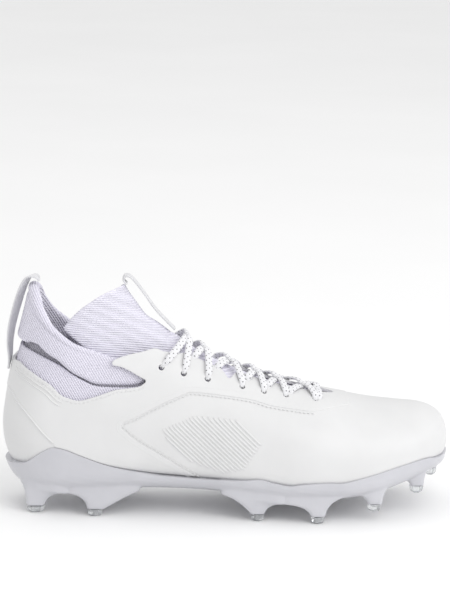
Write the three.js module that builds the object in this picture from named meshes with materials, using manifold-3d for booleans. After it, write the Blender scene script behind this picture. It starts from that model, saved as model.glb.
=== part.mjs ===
// A mid-cut cleat for the right foot, in millimetres: +X to the toe, +Z up, the outer side of the foot towards -Y.
// One function, the last, gives every curved piece its form. Shell, knit collar, tongue, insole and sole plate are
// offsets of it, so they change together when a size changes.
import * as THREE from "three";
import { mergeVertices } from "three/addons/utils/BufferGeometryUtils.js";
import Module from "manifold-3d";

const wasm = await Module();
wasm.setup();

// Driving sizes
const LENGTH = 293; // heel to toe tip of the upper
const BALL_WIDTH = 98; // across the upper at the ball
const BODY_HEIGHT = 136; // from the plate's underside to the top of the heel collar
const STUD_HEIGHT = 12; // floor to the plate's underside at the ball
const SHELL_WALL = 1.8; // synthetic shell
const QUARTER_STEP = 0.4; // how far the quarters and the eyestay stand out from the vamp
const RAND_STEP = 0.8; // how far the shell steps in under the plate's edge and at the heel counter
const LASTING_MARGIN = 11; // shell turned in under the foot
const PANEL_WALL = 2; // knit panel at the ankle
const COLLAR_WALL = 3.2; // knit collar where it goes down inside
const COLLAR_PAD = 7; // padded collar above its fold
const COLLAR_SWELL = 1.6; // how far the padded collar stands out from the last
const TONGUE_WALL = 3;
const INSOLE_THICKNESS = 4;
const PLATE_EDGE = 1; // sole plate at its upper edge
const PLATE_SOLE = 3.6; // sole plate under the ball
const PLATE_HEEL = 6; // sole plate under the heel
const GAP = 0.3; // between pieces that touch
const TUCK = 9; // how far a knit piece goes down behind the one outside it
const EYELET_RADIUS = 1.9;
const LACE_WIDTH = 4.8;
const LACE_THICKNESS = 2;
const LACE_RISE = 1.8; // how much higher one strand passes over the other
const LACE_EASE = 1.5; // above 1, a strand runs straight across first and turns to the next row late
const LACE_SINK = 2; // how much lower the strands lie on the tongue than on the shell
const LOOP_WIDTH = 9;
const LOOP_THICKNESS = 1.4;
const LOOP_BOW = 8; // how far a pull loop stands off
const TIP_HEIGHT = 4.4; // clear cap at the end of a stud
const TIP_WIDTH = 11; // across the clear cap where it meets the stud
const EDGE_INSET = 3.5; // from the plate's wall in to a web's outer face
const WEB_WIDTH = 13; // across a web where it meets the plate

// Facets
const FINE_TOE = 2; // up to this section, and from FINE_HEEL on, the rings lie twice as close
const FINE_HEEL = 13;
const HALF_GIRTH = 10; // facets from the base to the ridge on one side
const DENSE = 160; // samples that measure a ring's girth
const TURN_WEIGHT = 0.225; // share of BALL_WIDTH that a turn of one radian counts for, where facets are shared out

// The last's sections from toe tip to collar. top and base are the section's ends in side view, as shares of LENGTH
// and BODY_HEIGHT above the studs. Widths are shares of BALL_WIDTH. belly is the height of the widest point, as a
// share of the section, and low and high are how square the section is below and above it.
const COLUMNS = ["topX", "topZ", "baseX", "baseZ", "lateral", "medial", "middle", "belly", "low", "high"];
const SECTIONS = [
  [1.0, 0.235, 1.0, 0.235, 0.0, 0.0, 0.102, 0.42, 2.2, 2.2],
  [0.992, 0.324, 0.988, 0.165, 0.168, 0.168, 0.102, 0.42, 2.3, 2.2],
  [0.973, 0.371, 0.966, 0.132, 0.276, 0.255, 0.102, 0.42, 2.5, 2.2],
  [0.939, 0.399, 0.935, 0.11, 0.362, 0.327, 0.097, 0.41, 2.7, 2.2],
  [0.887, 0.41, 0.887, 0.08, 0.444, 0.388, 0.082, 0.4, 3.0, 2.2],
  [0.819, 0.43, 0.819, 0.04, 0.505, 0.439, 0.056, 0.39, 3.2, 2.15],
  [0.737, 0.467, 0.741, 0.02, 0.531, 0.474, 0.031, 0.38, 3.2, 2.1],
  [0.655, 0.504, 0.659, 0.018, 0.515, 0.449, 0.01, 0.37, 3.2, 2.05],
  [0.58, 0.551, 0.573, 0.03, 0.474, 0.398, 0.0, 0.36, 3.2, 2.0],
  [0.512, 0.61, 0.488, 0.048, 0.434, 0.347, 0.0, 0.35, 3.1, 2.0],
  [0.461, 0.662, 0.399, 0.062, 0.398, 0.321, 0.0, 0.33, 3.0, 2.0],
  [0.416, 0.721, 0.311, 0.066, 0.372, 0.321, 0.0, 0.31, 3.0, 2.0],
  [0.386, 0.783, 0.222, 0.055, 0.362, 0.332, 0.0, 0.3, 3.0, 2.0],
  [0.355, 0.827, 0.137, 0.045, 0.352, 0.337, 0.0, 0.3, 2.8, 2.0],
  [0.328, 0.86, 0.061, 0.066, 0.347, 0.337, 0.0, 0.32, 2.4, 2.0],
  [0.3135, 0.893, 0.017, 0.162, 0.342, 0.337, 0.0, 0.34, 2.2, 2.0],
  [0.2995, 0.93, 0.0017, 0.301, 0.337, 0.332, 0.0, 0.36, 2.1, 2.0],
  [0.286, 0.967, 0.009, 0.463, 0.327, 0.321, 0.0, 0.4, 2.1, 2.0],
  [0.277, 1.0, 0.023, 0.618, 0.316, 0.311, 0.0, 0.44, 2.1, 2.0],
  [0.269, 1.029, 0.039, 0.75, 0.311, 0.306, 0.0, 0.47, 2.1, 2.1],
  [0.262, 1.059, 0.054, 0.882, 0.311, 0.306, 0.0, 0.49, 2.2, 2.2],
  [0.256, 1.088, 0.068, 1.029, 0.316, 0.311, 0.0, 0.5, 2.2, 2.2],
];
const LAST_SECTION = SECTIONS.length - 1;

// Edges in side view, as shares of LENGTH and of BODY_HEIGHT above the studs, heel to toe
const TOPLINE = [
  [0.026, 0.637], [0.038, 0.643], [0.053, 0.626], [0.075, 0.602], [0.109, 0.559], [0.131, 0.513], [0.151, 0.493],
  [0.175, 0.484], [0.218, 0.51], [0.25, 0.533], [0.282, 0.542], [0.303, 0.55], [0.316, 0.57],
];
const WING = [
  [0.316, 0.579], [0.299, 0.598], [0.282, 0.619], [0.263, 0.638], [0.244, 0.649], [0.247, 0.671], [0.276, 0.692],
  [0.309, 0.706], [0.336, 0.719], [0.355, 0.706], [0.375, 0.697], [0.396, 0.692], [0.413, 0.704], [0.424, 0.85],
];
const FOLD = [
  [0.0, 0.74], [0.049, 0.739], [0.058, 0.748], [0.077, 0.743], [0.087, 0.726], [0.102, 0.703], [0.124, 0.676],
  [0.143, 0.64], [0.159, 0.612], [0.184, 0.581], [0.208, 0.556], [0.249, 0.55], [0.29, 0.551], [0.317, 0.566],
];
const PANEL_TOP = [
  [0.0, 0.705], [0.041, 0.709], [0.047, 0.712], [0.074, 0.699], [0.103, 0.675], [0.132, 0.645], [0.157, 0.605],
  [0.182, 0.573], [0.207, 0.549], [0.249, 0.542], [0.29, 0.543], [0.315, 0.558],
];
const RIM = [
  [0.0, 0.99], [0.062, 1.0], [0.068, 0.985], [0.075, 0.954], [0.083, 0.912], [0.106, 0.845], [0.132, 0.798],
  [0.166, 0.749], [0.207, 0.713], [0.245, 0.678], [0.3, 0.64], [0.34, 0.6],
];
const PLATE_RIM = [
  [-0.05, 0.14], [0.018, 0.147], [0.031, 0.154], [0.055, 0.168], [0.087, 0.224], [0.113, 0.255], [0.143, 0.246],
  [0.175, 0.219], [0.241, 0.17], [0.328, 0.136], [0.382, 0.127], [0.449, 0.12], [0.526, 0.122], [0.568, 0.132],
  [0.599, 0.118], [0.634, 0.107], [0.665, 0.118], [0.719, 0.125], [0.754, 0.125], [0.809, 0.15], [0.877, 0.182],
  [0.939, 0.198], [0.969, 0.188], [1.05, 0.18],
];
const COUNTER_EDGE = [
  [-0.05, 0.56], [0.016, 0.499], [0.029, 0.465], [0.048, 0.424], [0.066, 0.382], [0.086, 0.33], [0.104, 0.291],
  [0.118, 0.262],
];
const QUARTER_EDGE = [
  [0.46, 0.05], [0.445, 0.098], [0.419, 0.138], [0.394, 0.173], [0.362, 0.215], [0.326, 0.26], [0.295, 0.301],
  [0.273, 0.34], [0.264, 0.36], [0.271, 0.385], [0.293, 0.404], [0.327, 0.443], [0.36, 0.478], [0.388, 0.503],
  [0.409, 0.522], [0.435, 0.521], [0.491, 0.508], [0.545, 0.49], [0.588, 0.465], [0.633, 0.449], [0.683, 0.435],
  [0.724, 0.44], [0.771, 0.44],
];
const TONGUE_TOP = [
  [0.133, 0.81], [0.168, 0.895], [0.214, 0.962], [0.254, 0.993], [0.282, 1.0], [0.34, 1.02],
];
const TONGUE_DROP = 0.11; // how much lower the tongue's inner wing is, as a share of BODY_HEIGHT
const TONGUE_FOOT = [
  [0.76, 0.5], [0.75, 0.44], [0.68, 0.42], [0.58, 0.44], [0.48, 0.5], [0.4, 0.55], [0.34, 0.57], [0.26, 0.62],
  [0.18, 0.72],
];

// Throat in top view, from its rear to the vamp: distance from the heel as a share of LENGTH, half width as a share
// of BALL_WIDTH. The fourth to sixth rows make the flex notch.
const THROAT = [
  [0.38, 0.19], [0.403, 0.159], [0.427, 0.149], [0.48, 0.15], [0.5, 0.208], [0.519, 0.123], [0.546, 0.107],
  [0.58, 0.097], [0.638, 0.082], [0.693, 0.066], [0.724, 0.046], [0.737, 0.015],
];
const THROAT_SHIFT = 0.03; // how far the vamp's end of the throat lies to the inner side, as a share of BALL_WIDTH

// Eyelets from the top row down: section number, and share of the girth between ridge (0) and base (1)
const EYELETS = [
  [12.04, 0.24], [10.96, 0.225], [10.0, 0.21], [8.71, 0.185], [8.04, 0.17], [7.38, 0.155], [6.54, 0.14],
];
const THROAT_EDGE = 0.115; // share of the girth where a strand goes under the shell

// Studs. x and y of the tip are shares of LENGTH and BALL_WIDTH, foot is its height above the floor as a share of
// STUD_HEIGHT, turn is in degrees, and size is a share of TIP_WIDTH. aft and fore are the webs along the plate's edge:
// how far each runs and how high it climbs, as shares of STUD_HEIGHT, and how straight it is, from 0, hollow, to 1.
const STUDS = [
  { name: "heel_outer_rear", x: 0.077, y: -0.19, foot: 0, turn: -28, size: 1.12, aft: [0.35, 1.2, 0], fore: [1.3, 0.8, 0] },
  { name: "heel_inner_rear", x: 0.086, y: 0.2, foot: 0, turn: 28, size: 1.12, aft: [0.35, 1.2, 0], fore: [1.3, 0.8, 0] },
  { name: "heel_outer_front", x: 0.209, y: -0.27, foot: 0, turn: -3, size: 1, aft: [1, 0.8, 0], fore: [1.95, 1.05, 0.9] },
  { name: "heel_inner_front", x: 0.229, y: 0.25, foot: 0, turn: 3, size: 1, aft: [1, 0.8, 0], fore: [1.95, 1.05, 0.9] },
  { name: "outer_1", x: 0.566, y: -0.37, foot: 0, turn: 12, size: 0.84, aft: [1.6, 1, 0.5], fore: [1.1, 0.65, 0] },
  { name: "outer_2", x: 0.697, y: -0.42, foot: 0, turn: 2, size: 0.9, aft: [1.45, 0.65, 0], fore: [1.5, 1.15, 0] },
  { name: "outer_3", x: 0.824, y: -0.36, foot: 0.58, turn: -14, size: 0.9, aft: [0.95, 0.6, 0], fore: [0.75, 1.15, 0] },
  { name: "outer_4", x: 0.923, y: -0.2, foot: 1.22, turn: -38, size: 0.84, aft: [0.9, 0.55, 0], fore: [0.35, 0.9, 0] },
  { name: "inner_1", x: 0.586, y: 0.3, foot: 0, turn: -12, size: 0.84, aft: [1.6, 1, 0.5], fore: [1.1, 0.65, 0] },
  { name: "inner_2", x: 0.712, y: 0.38, foot: 0, turn: -3, size: 0.9, aft: [1.45, 0.65, 0], fore: [1.5, 1.15, 0] },
  { name: "inner_3", x: 0.84, y: 0.385, foot: 0.68, turn: 14, size: 0.9, aft: [0.95, 0.6, 0], fore: [0.6, 0.8, 0] },
  { name: "inner_4", x: 0.915, y: 0.33, foot: 1.2, turn: 38, size: 0.84, aft: [0.4, 0.55, 0], fore: [0.35, 0.6, 0] },
  { name: "toe", x: 0.968, y: 0.12, foot: 1.45, turn: 84, size: 0.76, aft: [0.2, 0.5, 0], fore: [0.2, 0.5, 0] },
];

// Pull loops: section number, and distance from the last's centre line as a share of LOOP_BOW. The first and last
// rows lie on what the loop is sewn to.
const HEEL_TWIST = 34; // how far the heel's loop is turned in its middle, in degrees
const HEEL_LOOP = [
  [17.75, 0.19], [18.1, 0.25], [18.6, 0.58], [19.2, 0.78], [19.9, 0.79], [20.5, 0.66], [20.88, 0.42], [21.0, 0.1],
  [21.01, -0.28], [20.92, -0.55],
];
const TONGUE_LOOP = [
  [18.1, -0.12], [18.65, -0.2], [19.05, -0.04], [19.1, 0.2], [18.6, 0.43], [17.6, 0.58], [16.2, 0.62], [14.8, 0.53],
  [13.6, 0.34], [12.8, 0.04], [12.1, -0.16],
];

const place = (x) => x * LENGTH;
const rise = (z) => STUD_HEIGHT + z * BODY_HEIGHT;
const inSide = (table) => table.map(([x, z]) => [place(x), rise(z)]);
const { lerp, smoothstep, degToRad } = THREE.MathUtils;

// One value of a Catmull-Rom curve
function spline(p0, p1, p2, p3, t) {
  const a = 2 * p1 + (p2 - p0) * t;
  const b = (2 * p0 - 5 * p1 + 4 * p2 - p3) * t * t;
  const c = (3 * p1 - p0 - 3 * p2 + p3) * t * t * t;
  return (a + b + c) / 2;
}

// A row of the table. Before the toe tip the outline runs on round the toe, past the collar it runs straight on.
function row(i) {
  if (i < 0) {
    const [topX, topZ, baseX, baseZ, lateral, medial, ...rest] = SECTIONS[1];
    return [baseX, baseZ, topX, topZ, -lateral, -medial, ...rest];
  }
  if (i > LAST_SECTION) return SECTIONS[LAST_SECTION].map((v, k) => 2 * v - SECTIONS[LAST_SECTION - 1][k]);
  return SECTIONS[i];
}

// The last at a fractional section number
function section(u) {
  const i = Math.max(0, Math.min(Math.floor(u), LAST_SECTION - 1));
  const rows = [row(i - 1), row(i), row(i + 1), row(i + 2)];
  const values = COLUMNS.map((name, k) => [name, spline(...rows.map((r) => r[k]), u - i)]);
  return Object.fromEntries(values);
}

// One side of a section from ridge to base: points, the girth up to each, and the same with a share for turns
function outline(u, side) {
  const s = section(u);
  const width = Math.max(side < 0 ? s.lateral : s.medial, 0) * BALL_WIDTH;
  const base = new THREE.Vector3(place(s.baseX), s.middle * BALL_WIDTH, rise(s.baseZ));
  const top = new THREE.Vector3(place(s.topX), s.middle * BALL_WIDTH, rise(s.topZ));
  const points = [];
  const girths = [0];
  const weights = [0];
  for (let k = 0; k <= DENSE; k++) {
    const angle = (Math.PI * k) / DENSE;
    const high = k < DENSE / 2;
    const power = 2 / (high ? s.high : s.low);
    const climb = Math.abs(Math.cos(angle)) ** power;
    const share = high ? s.belly + (1 - s.belly) * climb : s.belly * (1 - climb);
    const point = base.clone().lerp(top, share);
    point.y += side * width * Math.max(Math.sin(angle), 0) ** power;
    points.push(point);
    if (k === 0) continue;
    const length = point.distanceTo(points[k - 1]);
    girths.push(girths[k - 1] + length);
    const turn = k > 1 ? point.clone().sub(points[k - 1]).angleTo(points[k - 1].clone().sub(points[k - 2])) : 0;
    weights.push(weights[k - 1] + length + TURN_WEIGHT * BALL_WIDTH * turn);
  }
  return { points, girths, weights };
}

// Where a share of the whole falls in a rising list: the step, and how far into it
function locate(list, share) {
  const value = share * list.at(-1);
  const k = Math.max(1, list.findIndex((v) => v >= value));
  return [k, (value - list[k - 1]) / Math.max(list[k] - list[k - 1], 1e-9)];
}

// A ring of the last as a function of across: 0 is the ridge, -1 the base by the outer side, 1 the base by the inner
function ring(u) {
  const outer = outline(u, -1);
  const inner = outline(u, 1);
  return (across) => {
    const wrapped = across > 1 ? across - 2 : across < -1 ? across + 2 : across;
    const { points, girths } = wrapped < 0 ? outer : inner;
    const [k, share] = locate(girths, Math.abs(wrapped));
    return points[k - 1].clone().lerp(points[k], share);
  };
}

const DELTA = 0.02; // for slopes, in section numbers and in shares of the girth

// The last at section u: a point on it, its outward normal, and a point at a distance from it
function last(u) {
  const [before, here, after] = [u - DELTA, u, u + DELTA].map(ring);
  const normal = (across) => {
    const along = after(across).sub(before(across));
    const around = here(across + DELTA).sub(here(across - DELTA));
    return around.cross(along).normalize();
  };
  const out = (across, distance) => here(across).addScaledVector(normal(across), distance);
  return { point: here, normal, out };
}

function solid(positions, triangles) {
  const mesh = new wasm.Mesh({
    numProp: 3,
    vertProperties: new Float32Array(positions.flatMap((p) => [p.x, p.y, p.z])),
    triVerts: new Uint32Array(triangles.flat()),
  });
  return new wasm.Manifold(mesh);
}

// A closed solid through rings of as many points each
function loft(rings) {
  const count = rings[0].length;
  const positions = rings.flat();
  const triangles = [];
  for (let i = 0; i < rings.length - 1; i++) {
    for (let j = 0; j < count; j++) {
      const a = i * count + j;
      const b = i * count + ((j + 1) % count);
      triangles.push([a, b, a + count], [b, b + count, a + count]);
    }
  }
  const middle = (points) => points.reduce((sum, p) => sum.add(p), new THREE.Vector3()).divideScalar(count);
  const start = positions.push(middle(rings[0])) - 1;
  const end = positions.push(middle(rings.at(-1))) - 1;
  const final = (rings.length - 1) * count;
  for (let j = 0; j < count; j++) {
    const k = (j + 1) % count;
    triangles.push([start, k, j], [end, final + j, final + k]);
  }
  const made = solid(positions, triangles);
  return made.volume() > 0 ? made : solid(positions, triangles.map(([a, b, c]) => [a, c, b]));
}

// The last's grid: rings of nodes, with more nodes where a section turns
function gridRing(u) {
  const surface = last(u);
  const sides = { "-1": outline(u, -1), 1: outline(u, 1) };
  return Array.from({ length: 2 * HALF_GIRTH }, (_, j) => {
    const side = j <= HALF_GIRTH ? -1 : 1;
    const { weights, girths } = sides[side];
    const [k, share] = locate(weights, (j <= HALF_GIRTH ? j : 2 * HALF_GIRTH - j) / HALF_GIRTH);
    const across = (side * lerp(girths[k - 1], girths[k], share)) / Math.max(girths.at(-1), 1e-9);
    const point = surface.point(across);
    const normal = u === 0 ? new THREE.Vector3(1, 0, 0) : surface.normal(across);
    return { u, across: Math.abs(across), point, normal };
  });
}

const stations = SECTIONS.flatMap((_, i) => (i < FINE_TOE || (i >= FINE_HEEL && i < LAST_SECTION) ? [i, i + 0.5] : [i]));
const GRID = stations.map(gridRing);

// The last as a closed solid from section start on, each node moved out by offset, a number or a function of it
function sock(offset, start = 0) {
  const distance = typeof offset === "number" ? () => offset : offset;
  const rings = GRID.filter((nodes) => nodes[0].u >= start).map((nodes) =>
    nodes.map((node) => node.point.clone().addScaledVector(node.normal, distance(node))),
  );
  if (start > 0) return loft(rings);
  const tip = rings[0][0];
  const nose = rings[1].map((p) => tip.clone().lerp(p, 0.02));
  return loft([nose, ...rings.slice(1)]);
}

function fromGeometry(geometry) {
  geometry.deleteAttribute("normal");
  geometry.deleteAttribute("uv");
  const merged = mergeVertices(geometry, 1e-4);
  const mesh = new wasm.Mesh({
    numProp: 3,
    vertProperties: merged.getAttribute("position").array,
    triVerts: merged.index.array,
  });
  return new wasm.Manifold(mesh);
}

function extrude(points, depth) {
  const shape = new THREE.Shape(points.map(([x, y]) => new THREE.Vector2(x, y)));
  return new THREE.ExtrudeGeometry(shape, { depth, bevelEnabled: false, steps: 1 });
}

const REACH = 2 * BALL_WIDTH;
const BACK = -LENGTH / 4;
const FRONT = LENGTH * 1.25;
const SKY = 2 * (STUD_HEIGHT + BODY_HEIGHT);
const GROUND = -BODY_HEIGHT / 4;

// Prisms from an outline in side view or in top view
function sidePrism(points) {
  return fromGeometry(extrude(points, REACH).rotateX(Math.PI / 2).translate(0, REACH / 2, 0));
}

function topPrism(points, low, high) {
  return fromGeometry(extrude(points, high - low).translate(0, 0, low));
}

// Everything above, below or in front of a line in side view
function above(line) {
  return sidePrism([...line, [FRONT, line.at(-1)[1]], [FRONT, SKY], [BACK, SKY], [BACK, line[0][1]]]);
}

function below(line) {
  return sidePrism([...line, [FRONT, line.at(-1)[1]], [FRONT, GROUND], [BACK, GROUND], [BACK, line[0][1]]]);
}

function inFrontOf(x) {
  return sidePrism([[x, GROUND], [FRONT, GROUND], [FRONT, SKY], [x, SKY]]);
}

const lower = (line, drop) => line.map(([x, z]) => [x, z - drop]);

// Height of a side-view line at x
function heightOf(line, x) {
  const k = line.findIndex((p) => p[0] >= x);
  if (k < 0) return line.at(-1)[1];
  if (k === 0) return line[0][1];
  return lerp(line[k - 1][1], line[k][1], (x - line[k - 1][0]) / (line[k][0] - line[k - 1][0]));
}

const topline = inSide(TOPLINE);
const foldLine = inSide(FOLD);
const rimLine = inSide(RIM);
const plateRim = inSide(PLATE_RIM);

// A slab along the base of the last between two sections, with its half widths worked out per section
function baseSlab(low, high, halfWidths, start, end) {
  const rings = GRID.filter((nodes) => nodes[0].u >= start && nodes[0].u <= end).map((nodes) => {
    const { u, point } = nodes[HALF_GIRTH];
    const [outer, inner] = halfWidths(section(u));
    const corners = [[-outer, low], [inner, low], [inner, high], [-outer, high]];
    return corners.map(([y, z]) => new THREE.Vector3(point.x, point.y + y, point.z + z));
  });
  return loft(rings);
}

function eyeletHole(u, across) {
  const surface = last(u);
  const centre = surface.point(across);
  const hole = new THREE.CylinderGeometry(EYELET_RADIUS, EYELET_RADIUS, 4 * SHELL_WALL, 8);
  hole.applyQuaternion(new THREE.Quaternion().setFromUnitVectors(THREE.Object3D.DEFAULT_UP, surface.normal(across)));
  return fromGeometry(hole.translate(centre.x, centre.y, centre.z));
}

// Synthetic shell, open at the collar, the throat and underneath. Quarters and eyestay stand out from the vamp and
// from the heel counter, and under the plate's edge the shell steps in.
function makeUpper() {
  const quarterEdge = inSide(QUARTER_EDGE);
  const quarterZone = [
    ...quarterEdge, [quarterEdge.at(-1)[0], SKY], [BACK, SKY], [BACK, GROUND], [quarterEdge[0][0], GROUND],
  ];
  const counterEdge = inSide(COUNTER_EDGE);
  const counter = below([...counterEdge, [counterEdge.at(-1)[0], GROUND + 1]]);
  const quarter = sock(QUARTER_STEP).intersect(sidePrism(quarterZone)).subtract(counter);
  const outside = sock(0).add(quarter).subtract(below(plateRim)).add(sock(-RAND_STEP));
  const collarZone = [[BACK, topline[0][1]], ...topline, ...inSide(WING)];
  const collarCut = [...collarZone, [collarZone.at(-1)[0], SKY], [BACK, SKY]];
  let shell = outside.subtract(sock(-SHELL_WALL)).subtract(sidePrism(collarCut));
  const edge = THROAT.map(([x, y]) => {
    const shift = THROAT_SHIFT * smoothstep(x, THROAT[3][0], THROAT.at(-1)[0]);
    return { x: place(x), outer: (shift - y) * BALL_WIDTH, inner: (shift + y) * BALL_WIDTH };
  });
  const throat = [...edge.map((p) => [p.x, p.outer]), ...edge.toReversed().map((p) => [p.x, p.inner])];
  shell = shell.subtract(topPrism(throat, rise(0.3), SKY));
  const opening = (s) => [s.lateral, s.medial].map((w) => 0.86 * w * BALL_WIDTH - LASTING_MARGIN);
  shell = shell.subtract(baseSlab(-SHELL_WALL, 3 * SHELL_WALL, opening, 3, 14));
  for (const [u, across] of EYELETS) {
    shell = shell.subtract(eyeletHole(u, -across)).subtract(eyeletHole(u, across));
  }
  return shell;
}

// Knit panel that shows between the shell's topline and the collar's fold
const PANEL_INSIDE = SHELL_WALL + GAP;
const COLLAR_INSIDE = PANEL_INSIDE + PANEL_WALL + GAP;
const KNIT_START = 11; // the section where the pieces round the ankle start

function makeAnklePanel() {
  const wall = sock(-PANEL_INSIDE, KNIT_START).subtract(sock(-PANEL_INSIDE - PANEL_WALL, KNIT_START - 1));
  const panelTop = inSide(PANEL_TOP);
  return wall.subtract(above(panelTop)).subtract(below(lower(topline, TUCK))).subtract(inFrontOf(panelTop.at(-1)[0]));
}

// Knit collar: padded above its fold, and below it a thin wall that goes down inside the ankle panel. In front it
// sinks in under the shell's wing.
const sinking = ({ point }) => smoothstep(point.x, place(0.13), place(0.23));
const bandOutside = (node) => lerp(COLLAR_SWELL, -SHELL_WALL - 2 * GAP, sinking(node));
const bandInside = (node) => lerp(COLLAR_SWELL - COLLAR_PAD, -COLLAR_INSIDE - COLLAR_WALL, sinking(node));

function makeCollar() {
  const seam = 2 * TUCK / 3; // how far the thin wall reaches up into the padded one
  const band = sock(bandOutside, KNIT_START).subtract(sock(bandInside, KNIT_START - 1)).subtract(below(foldLine));
  const lining = sock(-COLLAR_INSIDE, KNIT_START)
    .subtract(sock(-COLLAR_INSIDE - COLLAR_WALL, KNIT_START - 1))
    .subtract(below(lower(foldLine, TUCK)))
    .subtract(above(lower(foldLine, -seam)));
  return band.add(lining).subtract(above(rimLine)).subtract(inFrontOf(foldLine.at(-1)[0]));
}

// Knit tongue: close under the shell in front, and inside the collar at its sides
const TONGUE_INSIDE = SHELL_WALL + 2 * GAP;
const TONGUE_SIDE = COLLAR_INSIDE + COLLAR_WALL + 2 * GAP;

function tongueOutside({ point }) {
  const overRim = point.z - heightOf(rimLine, point.x);
  const shallow = Math.max(smoothstep(overRim, GAP, BODY_HEIGHT / 3), smoothstep(point.x, place(0.33), place(0.42)));
  return -lerp(TONGUE_SIDE, TONGUE_INSIDE, shallow);
}

function makeTongue() {
  const wall = sock(tongueOutside, 5).subtract(sock((node) => tongueOutside(node) - TONGUE_WALL, 4));
  const innerTop = TONGUE_TOP.map(([x, z], k) => [x, k < TONGUE_TOP.length - 2 ? z - TONGUE_DROP : z]);
  const [outer, inner] = [TONGUE_TOP, innerTop].map((top) =>
    sidePrism([...inSide(top), ...inSide([[0.5, 1.02], [0.76, 0.8]]), ...inSide(TONGUE_FOOT)]),
  );
  const innerHalf = topPrism([[BACK, 0], [FRONT, 0], [FRONT, REACH], [BACK, REACH]], GROUND, SKY);
  return wall.intersect(outer).subtract(innerHalf.subtract(inner));
}

function makeInsole() {
  const wide = () => [BALL_WIDTH, BALL_WIDTH];
  const top = SHELL_WALL + GAP + INSOLE_THICKNESS;
  return sock(-SHELL_WALL - GAP).intersect(baseSlab(-GAP, top, wide, 1, 15));
}

// Sole plate: a cup round the foot of the shell, thick underneath, with the studs moulded on
function plateOutside({ point, normal }) {
  const under = lerp(PLATE_HEEL, PLATE_SOLE, smoothstep(point.x, place(0.25), place(0.6)));
  return lerp(PLATE_EDGE - RAND_STEP + GAP, under, smoothstep(-normal.z, 0.1, 0.8));
}

function studMatrix({ x, y, turn }) {
  return new THREE.Matrix4().makeRotationZ(degToRad(turn)).setPosition(place(x), y * BALL_WIDTH, 0);
}

// The plate's wall just under its rim, in top view: y at rising x on one side of the foot
function wallLine(side) {
  const level = rise(0.13);
  const line = GRID.flatMap((nodes) => {
    const ring = [...nodes.slice(0, HALF_GIRTH + 1)];
    const half = side < 0 ? ring : [nodes[0], ...nodes.slice(HALF_GIRTH).toReversed()];
    const points = half.map((node) => node.point.clone().addScaledVector(node.normal, plateOutside(node)));
    const k = points.findLastIndex((p, j) => j < points.length - 1 && p.z > level && points[j + 1].z <= level);
    if (k < 0) return [];
    const crossing = points[k].clone().lerp(points[k + 1], (points[k].z - level) / (points[k].z - points[k + 1].z));
    return [[crossing.x, crossing.y]];
  });
  return line.toReversed();
}

const WALLS = { "-1": wallLine(-1), 1: wallLine(1) };

// A stud's body: it widens upwards into webs that run aft and fore along the plate's edge
function makeStud(stud) {
  const levels = 4;
  const side = Math.sign(stud.y);
  const edge = stud.name === "toe" ? 0 : 1;
  const half = (TIP_WIDTH / 2) * stud.size;
  const foot = stud.foot * STUD_HEIGHT + TIP_HEIGHT + GAP;
  const corners = [[1, -0.5], [0.5, -1], [-0.5, -1], [-1, -0.5], [-1, 0.5], [-0.5, 1], [0.5, 1], [1, 0.5]];
  const chamfer = half / 3;
  const ringAt = (turn, raised) =>
    corners.map(([sx, sy]) => {
      const [reach, climb, straight] = sx > 0 ? stud.fore : stud.aft;
      const flare = lerp(1 - Math.cos(turn), Math.sin(turn), straight);
      const extent = half + reach * STUD_HEIGHT * flare;
      const x = place(stud.x) + Math.sign(sx) * (extent - (Math.abs(sx) < 1 ? chamfer : 0));
      const wall = heightOf(WALLS[side], x) - side * EDGE_INSET;
      const own = stud.y * BALL_WIDTH;
      const outer = lerp(own + side * half, wall, edge * flare);
      const inner = lerp(own - side * half, wall - side * WEB_WIDTH, edge * flare);
      const y = (sy * side > 0 ? outer : inner) - Math.sign(sy) * (Math.abs(sy) < 1 ? chamfer : 0);
      return new THREE.Vector3(x, y, foot + climb * STUD_HEIGHT * Math.sin(turn) + raised);
    });
  const rings = Array.from({ length: levels + 1 }, (_, k) => ringAt((Math.PI / 2) * (k / levels), 0));
  rings.push(ringAt(Math.PI / 2, STUD_HEIGHT / 2));
  return loft(rings);
}

// Clear six-sided cap at the foot of a stud
function makeTip(stud) {
  const rings = [[0, 0.74], [0.25, 0.88], [1, 1]].map(([share, width]) => {
    const radius = (TIP_WIDTH / 2) * stud.size * width;
    return Array.from({ length: 6 }, (_, k) => {
      const angle = ((k + 0.5) * Math.PI) / 3;
      const z = stud.foot * STUD_HEIGHT + share * TIP_HEIGHT;
      return new THREE.Vector3(radius * Math.cos(angle), radius * Math.sin(angle), z);
    });
  });
  return loft(rings).transform(studMatrix(stud).elements);
}

function makePlate() {
  let plate = sock(plateOutside);
  for (const stud of STUDS) plate = plate.add(makeStud(stud));
  return plate.intersect(below(lower(plateRim, GAP))).subtract(sock(-RAND_STEP + GAP));
}

// A strip along points: widths and faces are its two directions at each, corners its section as shares of its size
function strip(points, widths, faces, [width, thickness], corners) {
  const rings = points.map((point, k) =>
    corners.map(([across, up]) =>
      point.clone().addScaledVector(widths[k], across * width).addScaledVector(faces[k], up * thickness),
    ),
  );
  return loft(rings);
}

const headings = (points) =>
  points.map((_, k) => points[Math.min(k + 1, points.length - 1)].clone().sub(points[Math.max(k - 1, 0)]).normalize());

const OVAL = [[0.5, 0], [0.25, 0.5], [-0.25, 0.5], [-0.5, 0], [-0.25, -0.5], [0.25, -0.5]];
const FLAT = [[0.5, 0.5], [-0.5, 0.5], [-0.5, -0.5], [0.5, -0.5]];

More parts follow.
